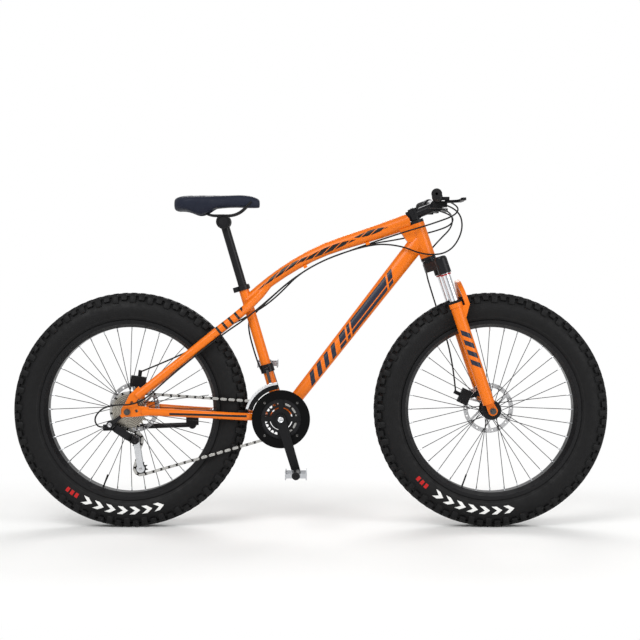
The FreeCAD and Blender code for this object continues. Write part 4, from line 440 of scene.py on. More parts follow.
def chain_look():
    """Bright outer plates over darker, oiled inner links and rollers."""
    look = plain("chain_steel", (188, 187, 184), roughness=0.28, metallic=1.0, grain=500.0,
                 tone=(150, 148, 144))
    off = look.maths("ABSOLUTE", look.along(LEFT, LEFT * CHAIN_Y))
    look.tint(look.maths("LESS_THAN", off, INNER_LINK_HALF_W), (40, 38, 36))
    return look


CAGE_RIM = (0.1075, 0.1165)


def shift_cage_look():
    """Dark cage plates with a polished upper rim."""
    look = plain("shift_cage_steel", (30, 30, 32), roughness=0.32, metallic=0.8, tone=(44, 44, 46))
    look.tint(look.between(look.reach(BOTTOM_BRACKET), *CAGE_RIM), (226, 227, 230))
    return look


SPROCKET_STEP = 0.0052
SPROCKET_SHADE = 0.0016


def sprocket_look():
    """Plated rings, with painted shade where one sprocket stands behind the next."""
    look = plain("sprocket_steel", (196, 190, 178), roughness=0.30, metallic=1.0, tone=(150, 144, 134))
    within = look.maths("MODULO", look.reach(REAR_AXLE), SPROCKET_STEP)
    # Painted shade: a dark band at the foot of each sprocket, in the gap before the next one.
    look.tint(look.maths("LESS_THAN", within, SPROCKET_SHADE), (44, 42, 39))
    return look


GUARD_BACK_Y = -0.0741
TOOTH_R = 0.0815


def chainring_look():
    """Black guard in front of dark toothed rings with a painted highlight on their tooth tips."""
    look = plain("chainring_steel", (44, 44, 46), roughness=0.36, metallic=0.7, tone=(30, 30, 32))
    guard = look.maths("LESS_THAN", look.along(LEFT), GUARD_BACK_Y)
    behind = look.maths("SUBTRACT", 1.0, guard)
    # Painted highlight: a bright band all round the tooth tips.
    tips = look.maths("GREATER_THAN", look.reach(BOTTOM_BRACKET), TOOTH_R)
    look.tint(look.all_of(tips, behind), (140, 139, 137))
    look.tint(guard, (14, 14, 15))
    return look


LOOKS = {
    "black_alloy": plain("black_anodised_alloy", (14, 14, 17), 0.38, coat=0.08, tone=(22, 22, 26)),
    "black_steel": plain("black_steel", (18, 18, 20), 0.40, metallic=0.1, tone=(12, 12, 14)),
    "rim": plain("black_rim_alloy", (11, 11, 13), 0.36, coat=0.1, tone=(18, 18, 21)),
    "spoke": plain("black_spoke_steel", (30, 30, 32), 0.35, metallic=0.5),
    "chrome": plain("fork_chrome", (226, 228, 232), 0.08, metallic=1.0, grain=120.0, depth=0.02),
    "silver": plain("silver_alloy", (212, 214, 217), 0.26, metallic=1.0, tone=(180, 182, 186)),
    "steel": plain("bright_steel", (178, 178, 180), 0.30, metallic=1.0, tone=(128, 126, 124)),
    "dark_steel": plain("darkened_steel", (96, 95, 94), 0.34, metallic=1.0, tone=(62, 61, 60)),
    "red_rubber": plain("red_seal_rubber", (172, 30, 30), 0.45, tone=(140, 22, 22)),
    "chain": chain_look(),
    "chainring": chainring_look(),
    "shift_cage": shift_cage_look(),
    "sprocket": sprocket_look(),
    "dropouts": dropout_paint(),
    "right_pedal": pedal_look("right_pedal_metal", RIGHT_PEDAL),
    "left_pedal": pedal_look("left_pedal_metal", LEFT_PEDAL),
    "plastic": plain("moulded_plastic", (14, 14, 16), 0.48, grain=700.0, depth=0.15, tone=(24, 24, 26)),
    "rubber": plain("grip_rubber", (20, 20, 21), 0.72, grain=800.0, depth=0.35, tone=(32, 32, 33)),
    "cable": plain("cable_cover", (18, 18, 19), 0.38, grain=500.0, depth=0.06, tone=(30, 30, 32)),
    "saddle": plain("saddle_cover", (26, 31, 46), 0.52, grain=420.0, depth=0.25, tone=(18, 22, 34)),
    "front_rotor": brushed("front_rotor_steel", (198, 198, 200), 0.26, FRONT_AXLE),
    "rear_rotor": brushed("rear_rotor_steel", (198, 198, 200), 0.26, REAR_AXLE),
    "frame": orange_paint("frame_paint"),
    "down_tube": down_tube_paint(),
    "top_tube": top_tube_paint(),
    "stays": stay_paint(),
    "fork": fork_paint(),
    "front_tyre": tyre_rubber("front_tyre_rubber", FRONT_AXLE, first=222.0, last=286.0),
    "rear_tyre": tyre_rubber("rear_tyre_rubber", REAR_AXLE, first=231.0, last=292.0),
}

NODE_LOOKS = {
    "frame": "head_tube seat_tube cable_guides",
    "dropouts": "dropouts",
    "down_tube": "down_tube",
    "top_tube": "top_tube",
    "stays": "stays",
    "fork": "fork_lowers",
    "chrome": "stanchions",
    "rim": "front_rim rear_rim",
    "spoke": "front_spokes rear_spokes",
    "black_alloy": "bearing_cups seat_clamp seat_clamp_lever seatpost fork_crown stem handlebar"
                   " front_hub rear_hub front_caliper rear_caliper front_caliper_arm rear_caliper_arm"
                   " brake_lever_right brake_lever_left kickstand_leg front_derailleur_body",
    "chainring": "chainrings",
    "right_pedal": "pedal_right",
    "left_pedal": "pedal_left",
    "black_steel": "saddle_rails kickstand_bracket crank_right crank_left rear_derailleur_bracket"
                   " rear_derailleur_outer_link rear_derailleur_inner_link rear_derailleur_knuckle",
    "dark_steel": "front_axle rear_axle",
    "sprocket": "sprockets",
    "shift_cage": "front_derailleur_cage",
    "front_rotor": "front_rotor",
    "rear_rotor": "rear_rotor",
    "chain": "chain",
    "silver": "rear_derailleur_cage",
    "plastic": "bar_controls shift_lever_right shift_lever_left upper_pulley lower_pulley",
    "rubber": "grips",
    "cable": "frame_cables front_brake_cable",
    "saddle": "saddle",
    "front_tyre": "front_tyre",
    "rear_tyre": "rear_tyre",
}


def dress(obj, look):
    obj.data.materials.clear()
    obj.data.materials.append(LOOKS[look].material)


for look, names in NODE_LOOKS.items():
    for name in names.split():
        dress(NODES[name], look)


# Helpers for pieces

MERGE = 0.00002
RING_STEPS = 40


def linked(name, data):
    """A new object in the scene."""
    obj = bpy.data.objects.new(name, data)
    bpy.context.scene.collection.objects.link(obj)
    return obj


def piece(name, bm, look, body, smooth=40):
    """Closes a bmesh and turns it into a piece, with edges sharper than an angle left crisp."""
    bmesh.ops.remove_doubles(bm, verts=bm.verts, dist=MERGE)
    bmesh.ops.recalc_face_normals(bm, faces=bm.faces)
    mesh = bpy.data.meshes.new(name)
    bm.to_mesh(mesh)
    bm.free()
    mesh.shade_smooth()
    mesh.set_sharp_from_angle(angle=math.radians(smooth))
    obj = linked(name, mesh)
    dress(obj, look)
    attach(obj, body)
    return obj


def merged_copy(node):
    """A CAD piece's mesh as one connected surface, without the normals stored for its loose triangles."""
    mesh = NODES[node].data.copy()
    stored = mesh.attributes.get("custom_normal")
    if stored:
        mesh.attributes.remove(stored)
    bm = bmesh.new()
    bm.from_mesh(mesh)
    bpy.data.meshes.remove(mesh)
    bmesh.ops.remove_doubles(bm, verts=bm.verts, dist=MERGE)
    return bm


def add_to(bm, one):
    """Moves a finished bmesh into another one."""
    mesh = bpy.data.meshes.new("one")
    one.to_mesh(mesh)
    one.free()
    bm.from_mesh(mesh)
    bpy.data.meshes.remove(mesh)


def everything(bm):
    return list(bm.verts) + list(bm.edges) + list(bm.faces)


def round_edges(bm, edges, size, segments=1):
    bmesh.ops.bevel(bm, geom=list(edges), offset=size, affect="EDGES", segments=segments, profile=0.5,
                    material=-1)


def turned(bm, points, centre, axis, steps, closed=True):
    """A line of points swept right round an axis."""
    verts = [bm.verts.new(p) for p in points]
    ends = verts[1:] + verts[:1] if closed else verts[1:]
    edges = [bm.edges.new(pair) for pair in zip(verts, ends)]
    bmesh.ops.spin(bm, geom=verts + edges, cent=centre, axis=axis, angle=FULL_TURN, steps=steps,
                   use_merge=True)


def facing(at, axis):
    """The place of a shape whose own Z lies along an axis."""
    return Matrix.Translation(at) @ axis.to_track_quat("Z", "Y").to_matrix().to_4x4()


# Tyres, as shares (height, width) of the section above the rim and of its half width

CASING = [(0.0, 0.73), (0.16, 0.87), (0.30, 0.95), (0.44, 0.975), (0.58, 0.94), (0.72, 0.83), (0.83, 0.69),
          (0.91, 0.50), (0.97, 0.26), (1.0, 0.0)]
BEAD_INSIDE_SHARE = 0.93
BEAD_LIP = 0.001
SHOULDER_LONG = [(0.62, 0.85), (0.66, 0.95), (0.87, 0.86), (0.955, 0.70), (0.80, 0.56)]
SHOULDER_SHORT = [(0.72, 0.77), (0.75, 0.90), (0.88, 0.84), (0.955, 0.69), (0.80, 0.56)]
SHOULDER_L_SHARE = 0.66
MIDDLE = [(0.86, 0.50), (0.975, 0.49), (0.99, 0.30), (0.88, 0.28)]
MIDDLE_L_SHARE = 0.7
CROWN = [(0.90, 0.20), (1.0, 0.19), (1.0, -0.19), (0.90, -0.20)]
CROWN_L_SHARE = 0.6


def wheel_point(axle, across, reach):
    return axle + LEFT * across + UP * reach


def tyre_casing(bm, axle):
    """The casing's outside, swept right round, with a rolled bead at each edge."""
    height = WHEEL_R - LUG_H - RIM_R
    half = [(TYRE_HALF_W * w, RIM_R + height * h) for h, w in CASING]
    line = half + [(-y, r) for y, r in reversed(half[:-1])]
    bead = line[0][0] * BEAD_INSIDE_SHARE
    line += [(-bead, RIM_R + BEAD_LIP), (bead, RIM_R + BEAD_LIP)]
    turned(bm, [wheel_point(axle, y, r) for y, r in line], axle, LEFT, TYRE_STEPS)


def lug_ring(bm, axle, corners, start, length, count):
    """A ring of equal lugs, each a short sweep of its section's corners."""
    one = bmesh.new()
    height = WHEEL_R - RIM_R
    points = [wheel_point(axle, TYRE_HALF_W * w, RIM_R + height * h) for h, w in corners]
    one.faces.new([one.verts.new(p) for p in points])
    bmesh.ops.rotate(one, verts=one.verts, cent=axle, matrix=Matrix.Rotation(start, 3, "Y"))
    bmesh.ops.spin(one, geom=everything(one), cent=axle, axis=LEFT, angle=length, steps=1)
    bmesh.ops.recalc_face_normals(one, faces=one.faces)
    round_edges(one, one.edges, LUG_ROUND)
    bmesh.ops.spin(one, geom=everything(one), cent=axle, axis=LEFT, angle=FULL_TURN / count * (count - 1),
                   steps=count - 1, use_duplicate=True)
    add_to(bm, one)


def tyre(node, axle, body):
    """The casing with long and short shoulder lugs in turn, a row beside the middle and one along it."""
    bm = bmesh.new()
    tyre_casing(bm, axle)
    pitch = FULL_TURN / LUG_PITCHES
    for side in (1, -1):
        rows = [(SHOULDER_LONG, 0, SHOULDER_L_SHARE, LUG_PITCHES // 2),
                (SHOULDER_SHORT, pitch, SHOULDER_L_SHARE, LUG_PITCHES // 2),
                (MIDDLE, pitch / 2, MIDDLE_L_SHARE, LUG_PITCHES)]
        for corners, start, share, count in rows:
            lug_ring(bm, axle, [(h, w * side) for h, w in corners], start, pitch * share, count)
    lug_ring(bm, axle, CROWN, 0, pitch * CROWN_L_SHARE, LUG_PITCHES)
    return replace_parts(piece(node + "_knobbly", bm, node, body), node)


tyre("front_tyre", FRONT_AXLE, "front_wheel")
tyre("rear_tyre", REAR_AXLE, "rear_wheel")


# Spoke nipples

NIPPLE_L = 0.013
NIPPLE_IN = 0.006
NIPPLE_RIM_R = 0.0024
NIPPLE_TIP_R = 0.0017


def nipples(name, axle, body):
    """Nipples where the spokes enter the rim, on one side and the other in turn."""
    bm = bmesh.new()
    for i in range(SPOKES):
        turn = FULL_TURN * i / SPOKES
        out = Vector((math.cos(turn), 0, math.sin(turn)))
        side = SPOKE_RIM_Y if i % 2 else -SPOKE_RIM_Y
        at = axle + out * (RIM_INNER_R - NIPPLE_IN) + LEFT * side
        bmesh.ops.create_cone(bm, cap_ends=True, segments=8, radius1=NIPPLE_TIP_R, radius2=NIPPLE_RIM_R,
                              depth=NIPPLE_L, matrix=facing(at, out))
    return piece(name, bm, "silver", body)


nipples("front_nipples", FRONT_AXLE, "front_wheel")
nipples("rear_nipples", REAR_AXLE, "rear_wheel")


# Bolts. Each head has a radius and a height.

BOLT_SIDES = 18
BOLT_ROUND_SHARE = 0.18
BOLT_WALL_SHARE = 0.38
BOLT_RECESS_SHARE = 0.55
ROTOR_HEAD = (0.0036, 0.003)
CRANK_HEAD = (0.0095, 0.003)
GUARD_HEAD = (0.0042, 0.0022)
BAR_CLAMP_HEAD = (0.0034, 0.003)
TOP_CAP_HEAD = (0.0050, 0.003)
CALIPER_HEAD = (0.0042, 0.004)
HANGER_HEAD = (0.0072, 0.003)
KNUCKLE_HEAD = (0.0080, 0.003)
PULLEY_HEAD = (0.0045, 0.0022)
PEDAL_HEAD = (0.0065, 0.002)

FRONT_ROTOR_FACE = 0.048
REAR_ROTOR_FACE = 0.072
ROTOR_BOLT_R = 0.021
ROTOR_BOLTS = 6
ROTOR_BOLT_TURN = 10
GUARD_BOLT_R = 0.072
GUARD_BOLTS = 4
GUARD_BOLT_TURN = 45
BAR_CLAMP_SPREAD = [(-0.015, -0.011), (-0.015, 0.011), (0.015, -0.011), (0.015, 0.011)]
FRONT_CALIPER_SPREAD = [(0.012, 0.010), (-0.006, -0.012)]
REAR_CALIPER_SPREAD = [(-0.017, -0.004), (0.017, -0.004)]
STEERER_ABOVE = 0.90
OUTSIDE = 0.3


def bolt(bm, at, axis, radius, height):
    """A bolt's head with a rounded rim and a recess."""
    one = bmesh.new()
    bmesh.ops.create_cone(one, cap_ends=True, segments=BOLT_SIDES, radius1=radius, radius2=radius,
                          depth=height, matrix=facing(at + axis * (height / 2), axis))
    top = max(one.faces, key=lambda f: f.calc_center_median().dot(axis))
    round_edges(one, top.edges, radius * BOLT_ROUND_SHARE, 2)
    top = max(one.faces, key=lambda f: f.calc_center_median().dot(axis) + f.calc_area())
    bmesh.ops.inset_region(one, faces=[top], thickness=radius * BOLT_WALL_SHARE)
    bmesh.ops.translate(one, verts=top.verts, vec=-axis * (height * BOLT_RECESS_SHARE))
    add_to(bm, one)


def bolts(name, places, head, look, body):
    bm = bmesh.new()
    for at, axis in places:
        bolt(bm, at, axis, *head)
    return piece(name, bm, look, body, smooth=30)


def seat(names, start, direction):
    """The first spot where a line meets one of the CAD pieces, and the way out of it."""
    spots = [NODES[name].ray_cast(start, direction) for name in names.split()]
    reached = [spot for hit, spot, normal, face in spots if hit]
    return min(reached, key=lambda spot: (spot - start).length), -direction


def on_right(names, at):
    return seat(names, at - LEFT * OUTSIDE, LEFT)


def on_left(names, at):
    return seat(names, at + LEFT * OUTSIDE, -LEFT)


def around(axle, radius, count, first):
    """Places at equal steps round an axle, from a first angle in degrees."""
    turns = [math.radians(first) + FULL_TURN * i / count for i in range(count)]
    return [axle + Vector((radius * math.cos(t), 0, radius * math.sin(t))) for t in turns]


def on_rotor(axle, face):
    return [(at + LEFT * face, LEFT) for at in around(axle, ROTOR_BOLT_R, ROTOR_BOLTS, ROTOR_BOLT_TURN)]


def on_guard():
    return [on_right("chainrings", at)
            for at in around(BOTTOM_BRACKET, GUARD_BOLT_R, GUARD_BOLTS, GUARD_BOLT_TURN)]


def on_stem(y, up):
    return seat("stem", BAR_CLAMP + STEER_FWD * OUTSIDE + LEFT * y + STEER_UP * up, -STEER_FWD)


def on_caliper(name, middle, spread):
    return [on_left(name, middle + Vector((x, 0, z))) for x, z in spread]


CRANKS = "crank_right crank_left"
bolts("front_rotor_bolts", on_rotor(FRONT_AXLE, FRONT_ROTOR_FACE), ROTOR_HEAD,
      "steel", "front_wheel")
bolts("rear_rotor_bolts", on_rotor(REAR_AXLE, REAR_ROTOR_FACE), ROTOR_HEAD,
      "steel", "rear_wheel")
bolts("right_crank_bolt", [on_right(CRANKS, BOTTOM_BRACKET)], CRANK_HEAD,
      "silver", "crankset")
bolts("left_crank_bolt", [on_left(CRANKS, BOTTOM_BRACKET)], CRANK_HEAD,
      "silver", "crankset")
bolts("guard_bolts", on_guard(), GUARD_HEAD, "dark_steel", "crankset")
bolts("bar_clamp_bolts", [on_stem(y, up) for y, up in BAR_CLAMP_SPREAD], BAR_CLAMP_HEAD,
      "steel", "steering")
bolts("top_cap_bolt", [seat("stem fork_crown", STEER_FOOT + STEER_UP * STEERER_ABOVE, -STEER_UP)],
      TOP_CAP_HEAD, "steel", "steering")
bolts("front_caliper_bolts", on_caliper("front_caliper", FRONT_CALIPER, FRONT_CALIPER_SPREAD), CALIPER_HEAD,
      "steel", "fork_slider")
bolts("rear_caliper_bolts", on_caliper("rear_caliper", REAR_CALIPER, REAR_CALIPER_SPREAD), CALIPER_HEAD,
      "steel", "frame")
bolts("hanger_bolt", [on_right("rear_derailleur_bracket dropouts", HANGER)], HANGER_HEAD,
      "steel", "frame")
bolts("knuckle_cap", [on_right("rear_derailleur_knuckle rear_derailleur_cage", UPPER_PULLEY)], KNUCKLE_HEAD,
      "black_alloy", "derailleur_knuckle")
bolts("pulley_bolt", [on_right("rear_derailleur_cage lower_pulley", LOWER_PULLEY)], PULLEY_HEAD,
      "steel", "derailleur_cage")
bolts("right_pedal_cap", [on_right("pedal_right crank_right", RIGHT_PEDAL)], PEDAL_HEAD,
      "black_steel", "right_pedal")
bolts("left_pedal_cap", [on_left("pedal_left crank_left", LEFT_PEDAL)], PEDAL_HEAD,
      "black_steel", "left_pedal")


# Fork legs. A ring's section is in points (radius, height) about its leg.

TRAVEL_RING = [(0.0142, -0.0022), (0.0168, -0.0022), (0.0176, 0), (0.0168, 0.0022), (0.0142, 0.0022)]
TRAVEL_RING_UP = 0.4515
WIPER_SEAL = [(0.0144, 0.0003), (0.0200, 0.0003), (0.0198, 0.0032), (0.0172, 0.0056), (0.0150, 0.0085),
              (0.0144, 0.0085)]
WIPER_SEAL_UP = 0.357
CROWN_CAP = [(0.0004, 0.0002), (0.0190, 0.0002), (0.0186, 0.0040), (0.0160, 0.0068), (0.0110, 0.0082),
             (0.0108, 0.0062), (0.0004, 0.0062)]
CROWN_CAP_UP = 0.503
ARCH_AHEAD = 0.070
ARCH_FOOT_LOW = 0.316
ARCH_FOOT_TIP = 0.341


def leg_rings(name, section, up, look, body):
    """A turned ring on each fork leg."""
    bm = bmesh.new()
    for side in (-1, 1):
        middle = LEG_FOOT + LEFT * (LEG_Y * side) + STEER_UP * up
        turned(bm, [middle + STEER_FWD * r + STEER_UP * h for r, h in section], middle, STEER_UP, RING_STEPS)
    return piece(name, bm, look, body)


def fork_legs():
    """The fork's lowers with the arch's feet tapered into the legs."""
    bm = merged_copy("fork_lowers")
    for v in bm.verts:
        ahead = (v.co - STEER_FOOT).dot(STEER_FWD)
        up = (v.co - STEER_FOOT).dot(STEER_UP)
        if ahead > ARCH_AHEAD and up < ARCH_FOOT_LOW:
            v.co += STEER_UP * (ARCH_FOOT_TIP - up)
    obj = piece("tapered_fork_legs", bm, "fork", "fork_slider", smooth=30)
    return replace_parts(obj, "fork_lowers")


leg_rings("travel_rings", TRAVEL_RING, TRAVEL_RING_UP, "red_rubber", "steering")
leg_rings("wiper_seals", WIPER_SEAL, WIPER_SEAL_UP, "rubber", "fork_slider")
leg_rings("crown_caps", CROWN_CAP, CROWN_CAP_UP, "black_alloy", "steering")
fork_legs()


# Rear derailleur cover

COVER_L = 0.052
COVER_T = 0.0064
COVER_W = 0.025
COVER_Y = -0.0985
COVER_ROUND = 0.0029


def link_cover():
    """Moulded cover on the outer link of the rear derailleur."""
    bm = bmesh.new()
    along = (UPPER_PULLEY - HANGER).normalized()
    lie = Matrix((along, LEFT, along.cross(LEFT))).transposed().to_4x4()
    middle = (HANGER + UPPER_PULLEY) / 2 + LEFT * COVER_Y
    size = Matrix.Diagonal((COVER_L, COVER_T, COVER_W, 1))
    bmesh.ops.create_cube(bm, size=1, matrix=Matrix.Translation(middle) @ lie @ size)
    round_edges(bm, bm.edges, COVER_ROUND, 3)
    return piece("link_cover", bm, "black_alloy", "derailleur_outer_link", smooth=60)


link_cover()


# Grips

GRIP_L = 0.128
GRIP_R = 0.0160
GRIP_BORE_R = 0.0112
GRIP_CAP_R = 0.004
GRIP_CAP_OUT = 0.004
GRIP_CAP_SHARE = 0.94
GRIP_CAP_ROUND = 0.001
GRIP_END_L = 0.008
GRIP_COLLAR_L = 0.007
GRIP_RIBS = 26
GRIP_RIB_H = 0.0013
GRIP_RIB_BELOW = 0.0002
RIB_SHARES = (0.2, 0.7, 0.9)


def grips():
    """Ribbed rubber sleeves with a collar at each end, turned about the bar."""
    bm = bmesh.new()
    inward = (BAR_BEND - BAR_END).normalized()
    line = [(-GRIP_CAP_OUT, GRIP_CAP_R), (-GRIP_CAP_OUT, GRIP_R * GRIP_CAP_SHARE), (-GRIP_CAP_ROUND, GRIP_R)]
    pitch = (GRIP_L - 2 * GRIP_END_L) / GRIP_RIBS
    rise, crest, fall = [pitch * share for share in RIB_SHARES]
    top = GRIP_R - GRIP_RIB_BELOW
    foot = GRIP_R - GRIP_RIB_H
    for i in range(GRIP_RIBS):
        start = GRIP_END_L + pitch * i
        line += [(start, foot), (start + rise, top), (start + crest, top), (start + fall, foot)]
    line += [(GRIP_L - GRIP_COLLAR_L, GRIP_R), (GRIP_L, GRIP_R), (GRIP_L, GRIP_BORE_R)]
    turned(bm, [BAR_END + inward * x + UP * r for x, r in line], BAR_END, inward, RING_STEPS, closed=False)
    bmesh.ops.mirror(bm, geom=everything(bm), axis="Y", merge_dist=0.0)
    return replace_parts(piece("ribbed_grips", bm, "rubber", "steering", smooth=35), "grips")


grips()


# Saddle. Shares run from its tail to its nose, and from its top to its underside.

PAD_VOXEL = 0.0032
PAD_SMOOTHINGS = 4
CHANNEL_DEEP = 0.0038
CHANNEL_HALF_W = 0.007
CHANNEL_START_SHARE = 0.12
CHANNEL_L_SHARE = 0.66
TOP_FACING = 0.2
CREST = 0.007
CREST_SHARES = (0.2, 0.5)
CREST_DEEP_SHARES = (0.2, 0.7)
SKIRT = 0.022
SKIRT_SHARE = 0.31
SKIRT_TAIL_SHARE = 0.13
SKIRT_NOSE_SHARE = 0.15
SKIRT_DEEP_SHARES = (0.3, 0.8)
SKIRT_Y = (0.028, 0.048)
SKIRT_TUCK_SHARE = 0.2


def ease(low, high, value):
    """A smooth step from 0 to 1."""
    share = min(1, max(0, (value - low) / (high - low)))
    return share * share * (3 - 2 * share)


def channel(share, y):
    """How far into the pressure channel a spot on the top lies."""
    run = min(1, max(0, (share - CHANNEL_START_SHARE) / CHANNEL_L_SHARE))
    return math.exp(-(y / CHANNEL_HALF_W) ** 2) * max(0.0, math.sin(math.pi * run))


def hang(share, y, deep):
    """How far a spot takes part in the skirts that hang at the sides."""
    spread = SKIRT_TAIL_SHARE if share < SKIRT_SHARE else SKIRT_NOSE_SHARE
    bell = math.exp(-((share - SKIRT_SHARE) / spread) ** 2)
    return bell * ease(*SKIRT_Y, abs(y)) * ease(*SKIRT_DEEP_SHARES, deep)


def shape_padding(bm):
    """Smooths the saddle and gives it its channel, its crest and its skirts."""
    for step in range(PAD_SMOOTHINGS):
        bmesh.ops.smooth_vert(bm, verts=bm.verts, factor=0.5, use_axis_x=True, use_axis_y=True,
                              use_axis_z=True)
    low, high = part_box("saddle")
    for v in bm.verts:
        share = (v.co.x - low.x) / (high.x - low.x)
        if v.normal.z > TOP_FACING:
            v.co.z -= CHANNEL_DEEP * channel(share, v.co.y)
        deep = (high.z - v.co.z) / (high.z - low.z)
        skirt = hang(share, v.co.y, deep)
        crest = ease(*CREST_SHARES, share) * (1 - ease(*CREST_DEEP_SHARES, deep))
        v.co.z += CREST * crest - SKIRT * skirt
        v.co.y *= 1 - SKIRT_TUCK_SHARE * skirt


def saddle():
    """Padded cover over the saddle's shell, with a pressure channel on top and a skirt at each side."""
    mesh = bpy.data.meshes.new("padded_saddle")
    bm = merged_copy("saddle")
    bm.to_mesh(mesh)
    bm.free()
    obj = linked("padded_saddle", mesh)
    mesh.remesh_voxel_size = PAD_VOXEL
    bpy.context.view_layer.objects.active = obj
    obj.select_set(True)
    bpy.ops.object.voxel_remesh()
    bm = bmesh.new()
    bm.from_mesh(mesh)
    shape_padding(bm)
    bm.to_mesh(mesh)
    bm.free()
    mesh.shade_smooth()
    finer = obj.modifiers.new("finer", "SUBSURF")
    finer.levels = 1
    finer.render_levels = 1
    dress(obj, "saddle")
    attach(obj, "saddle_unit")
    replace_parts(obj, "saddle")
    return obj


saddle()


# Cables, by the control points of their routes

CABLE_D = 0.005
REAR_SHIFT = [(0.397, -0.150, 1.014), (0.460, -0.075, 1.005), (0.482, -0.044, 0.940), (0.440, -0.037, 0.865),
              (0.358, -0.036, 0.857), (0.278, -0.028, 0.891), (0.180, -0.011, 0.894),
              (-0.017, -0.011, 0.822), (-0.189, -0.024, 0.668), (-0.282, -0.067, 0.606),
              (-0.444, -0.083, 0.475), (-0.529, -0.117, 0.392), (-0.631, -0.116, 0.394),
              (-0.675, -0.108, 0.352), (-0.655, -0.098, 0.314), (-0.623, -0.083, 0.330)]
REAR_BRAKE = [(0.401, -0.185, 1.026), (0.458, -0.102, 1.013), (0.460, -0.060, 0.985), (0.390, -0.040, 0.959),
              (0.288, -0.032, 0.929), (0.180, 0.011, 0.894), (-0.017, 0.011, 0.822), (-0.120, 0.034, 0.715),
              (-0.200, 0.070, 0.665), (-0.293, 0.087, 0.619), (-0.369, 0.087, 0.557),
              (-0.553, 0.087, 0.483)]
FRONT_SHIFT = [(0.397, 0.150, 1.014), (0.456, 0.080, 0.995), (0.458, 0.052, 0.960), (0.396, 0.036, 0.935),
               (0.278, 0.024, 0.909), (0.180, 0.0, 0.894), (-0.017, 0.0, 0.822), (-0.189, 0.024, 0.668),
               (-0.203, 0.012, 0.633), (-0.171, -0.006, 0.522), (-0.158, -0.006, 0.495)]
FRONT_BRAKE = [(0.401, 0.185, 1.026), (0.454, 0.110, 1.010), (0.460, 0.070, 0.955), (0.408, 0.052, 0.905),
               (0.358, 0.072, 0.845), (0.405, 0.076, 0.691), (0.457, 0.076, 0.535), (0.466, 0.064, 0.419)]


def cable_route(name, points):
    """A smooth curve led by a route's control points."""
    curve = bpy.data.curves.new(name, "CURVE")
    curve.dimensions = "3D"
    curve.resolution_u = 12
    spline = curve.splines.new("NURBS")
    spline.points.add(len(points) - 1)
    for control, point in zip(spline.points, points):
        control.co = (*point, 1)
    spline.order_u = 3
    spline.use_endpoint_u = True
    return linked(name + "_route", curve)


def cable(name, points, node):
    """A smooth cable on its route, in place of a CAD piece."""
    route = cable_route(name, points)
    bpy.context.view_layer.update()
    path = [v.co.copy() for v in bpy.data.meshes.new_from_object(route).vertices]
    route.data.bevel_depth = CABLE_D / 2
    route.data.bevel_resolution = 3
    route.data.use_fill_caps = True
    bpy.context.view_layer.update()
    mesh = bpy.data.meshes.new_from_object(route.evaluated_get(bpy.context.evaluated_depsgraph_get()))
    bpy.data.objects.remove(route)
    mesh.name = name
    mesh.shade_smooth()
    obj = linked(name, mesh)
    dress(obj, "cable")
    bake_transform(obj)
    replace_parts(obj, node)
    return obj


cable("rear_shift_cable", REAR_SHIFT, "frame_cables")
cable("rear_brake_cable", REAR_BRAKE, "frame_cables")
cable("front_shift_cable", FRONT_SHIFT, "frame_cables")
cable("front_brake_hose", FRONT_BRAKE, "front_brake_cable")


# Camera

PIXEL = 0.003176
IMAGE_PIXELS = 640
CAMERA_OUT = 4.4
CAMERA_X = 0.029
CAMERA_Z = 0.748
IMAGE_MIDDLE_Z = 0.653
SENSOR = 36.0


def side_camera():
    """A level camera at the bike's right side, with the picture shifted down to the bike."""
    camera = linked("camera", bpy.data.cameras.new("camera"))
    camera.location = (CAMERA_X, -CAMERA_OUT, CAMERA_Z)
    camera.rotation_euler = (math.radians(90), 0, 0)
    camera.data.sensor_width = SENSOR
    camera.data.lens = SENSOR * CAMERA_OUT / (IMAGE_PIXELS * PIXEL)
    camera.data.shift_y = (IMAGE_MIDDLE_Z - CAMERA_Z) / (IMAGE_PIXELS * PIXEL)
    bpy.context.scene.camera = camera
    bpy.context.scene.view_settings.view_transform = "Standard"


side_camera()


# Studio

FLOOR_SIZE = 14
FLOOR_SHOWN = Vector((1.5, 1.0, 0))
FLOOR_FADE = (0.75, 1.4)
AMBIENT = 0.55
WHITE = (1, 1, 1, 1)


def softbox(name, place, aim, size, power):
    """A rectangular lamp turned towards a spot."""
    lamp = bpy.data.lights.new(name, "AREA")
    lamp.energy = power
    lamp.shape = "RECTANGLE"
    lamp.size, lamp.size_y = size
    obj = linked(name, lamp)
    obj.location = place
    obj.rotation_euler = (Vector(aim) - Vector(place)).to_track_quat("-Z", "Y").to_euler()


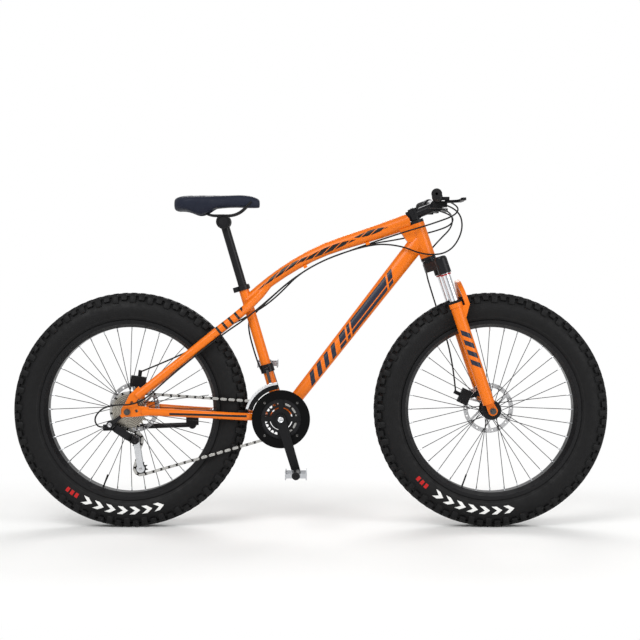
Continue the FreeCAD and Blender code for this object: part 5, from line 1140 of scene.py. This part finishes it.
def studio_world():
    """An even white room, full white where the camera sees it and dimmer as a light."""
    world = bpy.data.worlds.new("studio")
    bpy.context.scene.world = world
    world.use_nodes = True
    tree = world.node_tree
    ambient = tree.nodes["Background"]
    ambient.inputs["Color"].default_value = WHITE
    ambient.inputs["Strength"].default_value = AMBIENT
    backdrop = tree.nodes.new("ShaderNodeBackground")
    backdrop.inputs["Color"].default_value = WHITE
    path = tree.nodes.new("ShaderNodeLightPath")
    seen = tree.nodes.new("ShaderNodeMath")
    seen.operation = "MAXIMUM"
    tree.links.new(path.outputs["Is Camera Ray"], seen.inputs[0])
    tree.links.new(path.outputs["Is Transmission Ray"], seen.inputs[1])
    mix = tree.nodes.new("ShaderNodeMixShader")
    tree.links.new(seen.outputs[0], mix.inputs[0])
    tree.links.new(ambient.outputs[0], mix.inputs[1])
    tree.links.new(backdrop.outputs[0], mix.inputs[2])
    tree.links.new(mix.outputs[0], tree.nodes["World Output"].inputs["Surface"])


def studio_floor():
    """A pale floor that takes the shadows near the bike and runs out into white."""
    bm = bmesh.new()
    bmesh.ops.create_grid(bm, x_segments=1, y_segments=1, size=FLOOR_SIZE)
    mesh = bpy.data.meshes.new("studio_floor")
    bm.to_mesh(mesh)
    bm.free()
    obj = linked("studio_floor", mesh)
    look = Finish("pale_floor", (240, 240, 239), roughness=0.8)
    look.mottle((232, 232, 231), scale=0.8, share=0.5)
    x = look.along(FORWARD / FLOOR_SHOWN.x)
    y = look.along(LEFT / FLOOR_SHOWN.y)
    reach = look.maths("SQRT", look.maths("MULTIPLY_ADD", x, x, look.maths("MULTIPLY", y, y)))
    fade = look.add("MapRange", reach, *FLOOR_FADE, 0.0, 1.0, interpolation_type="SMOOTHSTEP").outputs[0]
    seen = look.add("LightPath").outputs["Is Camera Ray"]
    white = look.add("Emission", WHITE, 1.0).outputs[0]
    blend = look.add("MixShader", look.all_of(fade, seen), look.shader.outputs[0], white)
    look.give(look.tree.nodes["Material Output"].inputs["Surface"], blend.outputs[0])
    mesh.materials.append(look.material)


softbox("key_softbox", (-1.6, -3.0, 3.2), aim=(0, 0, 0.5), size=(2.6, 2.2), power=108)
softbox("fill_softbox", (2.6, -2.4, 1.8), aim=(0.2, 0, 0.5), size=(2.0, 2.0), power=45)
softbox("back_softbox", (0.4, 3.0, 2.6), aim=(0, 0, 0.5), size=(3.0, 1.6), power=70)
studio_world()
studio_floor()
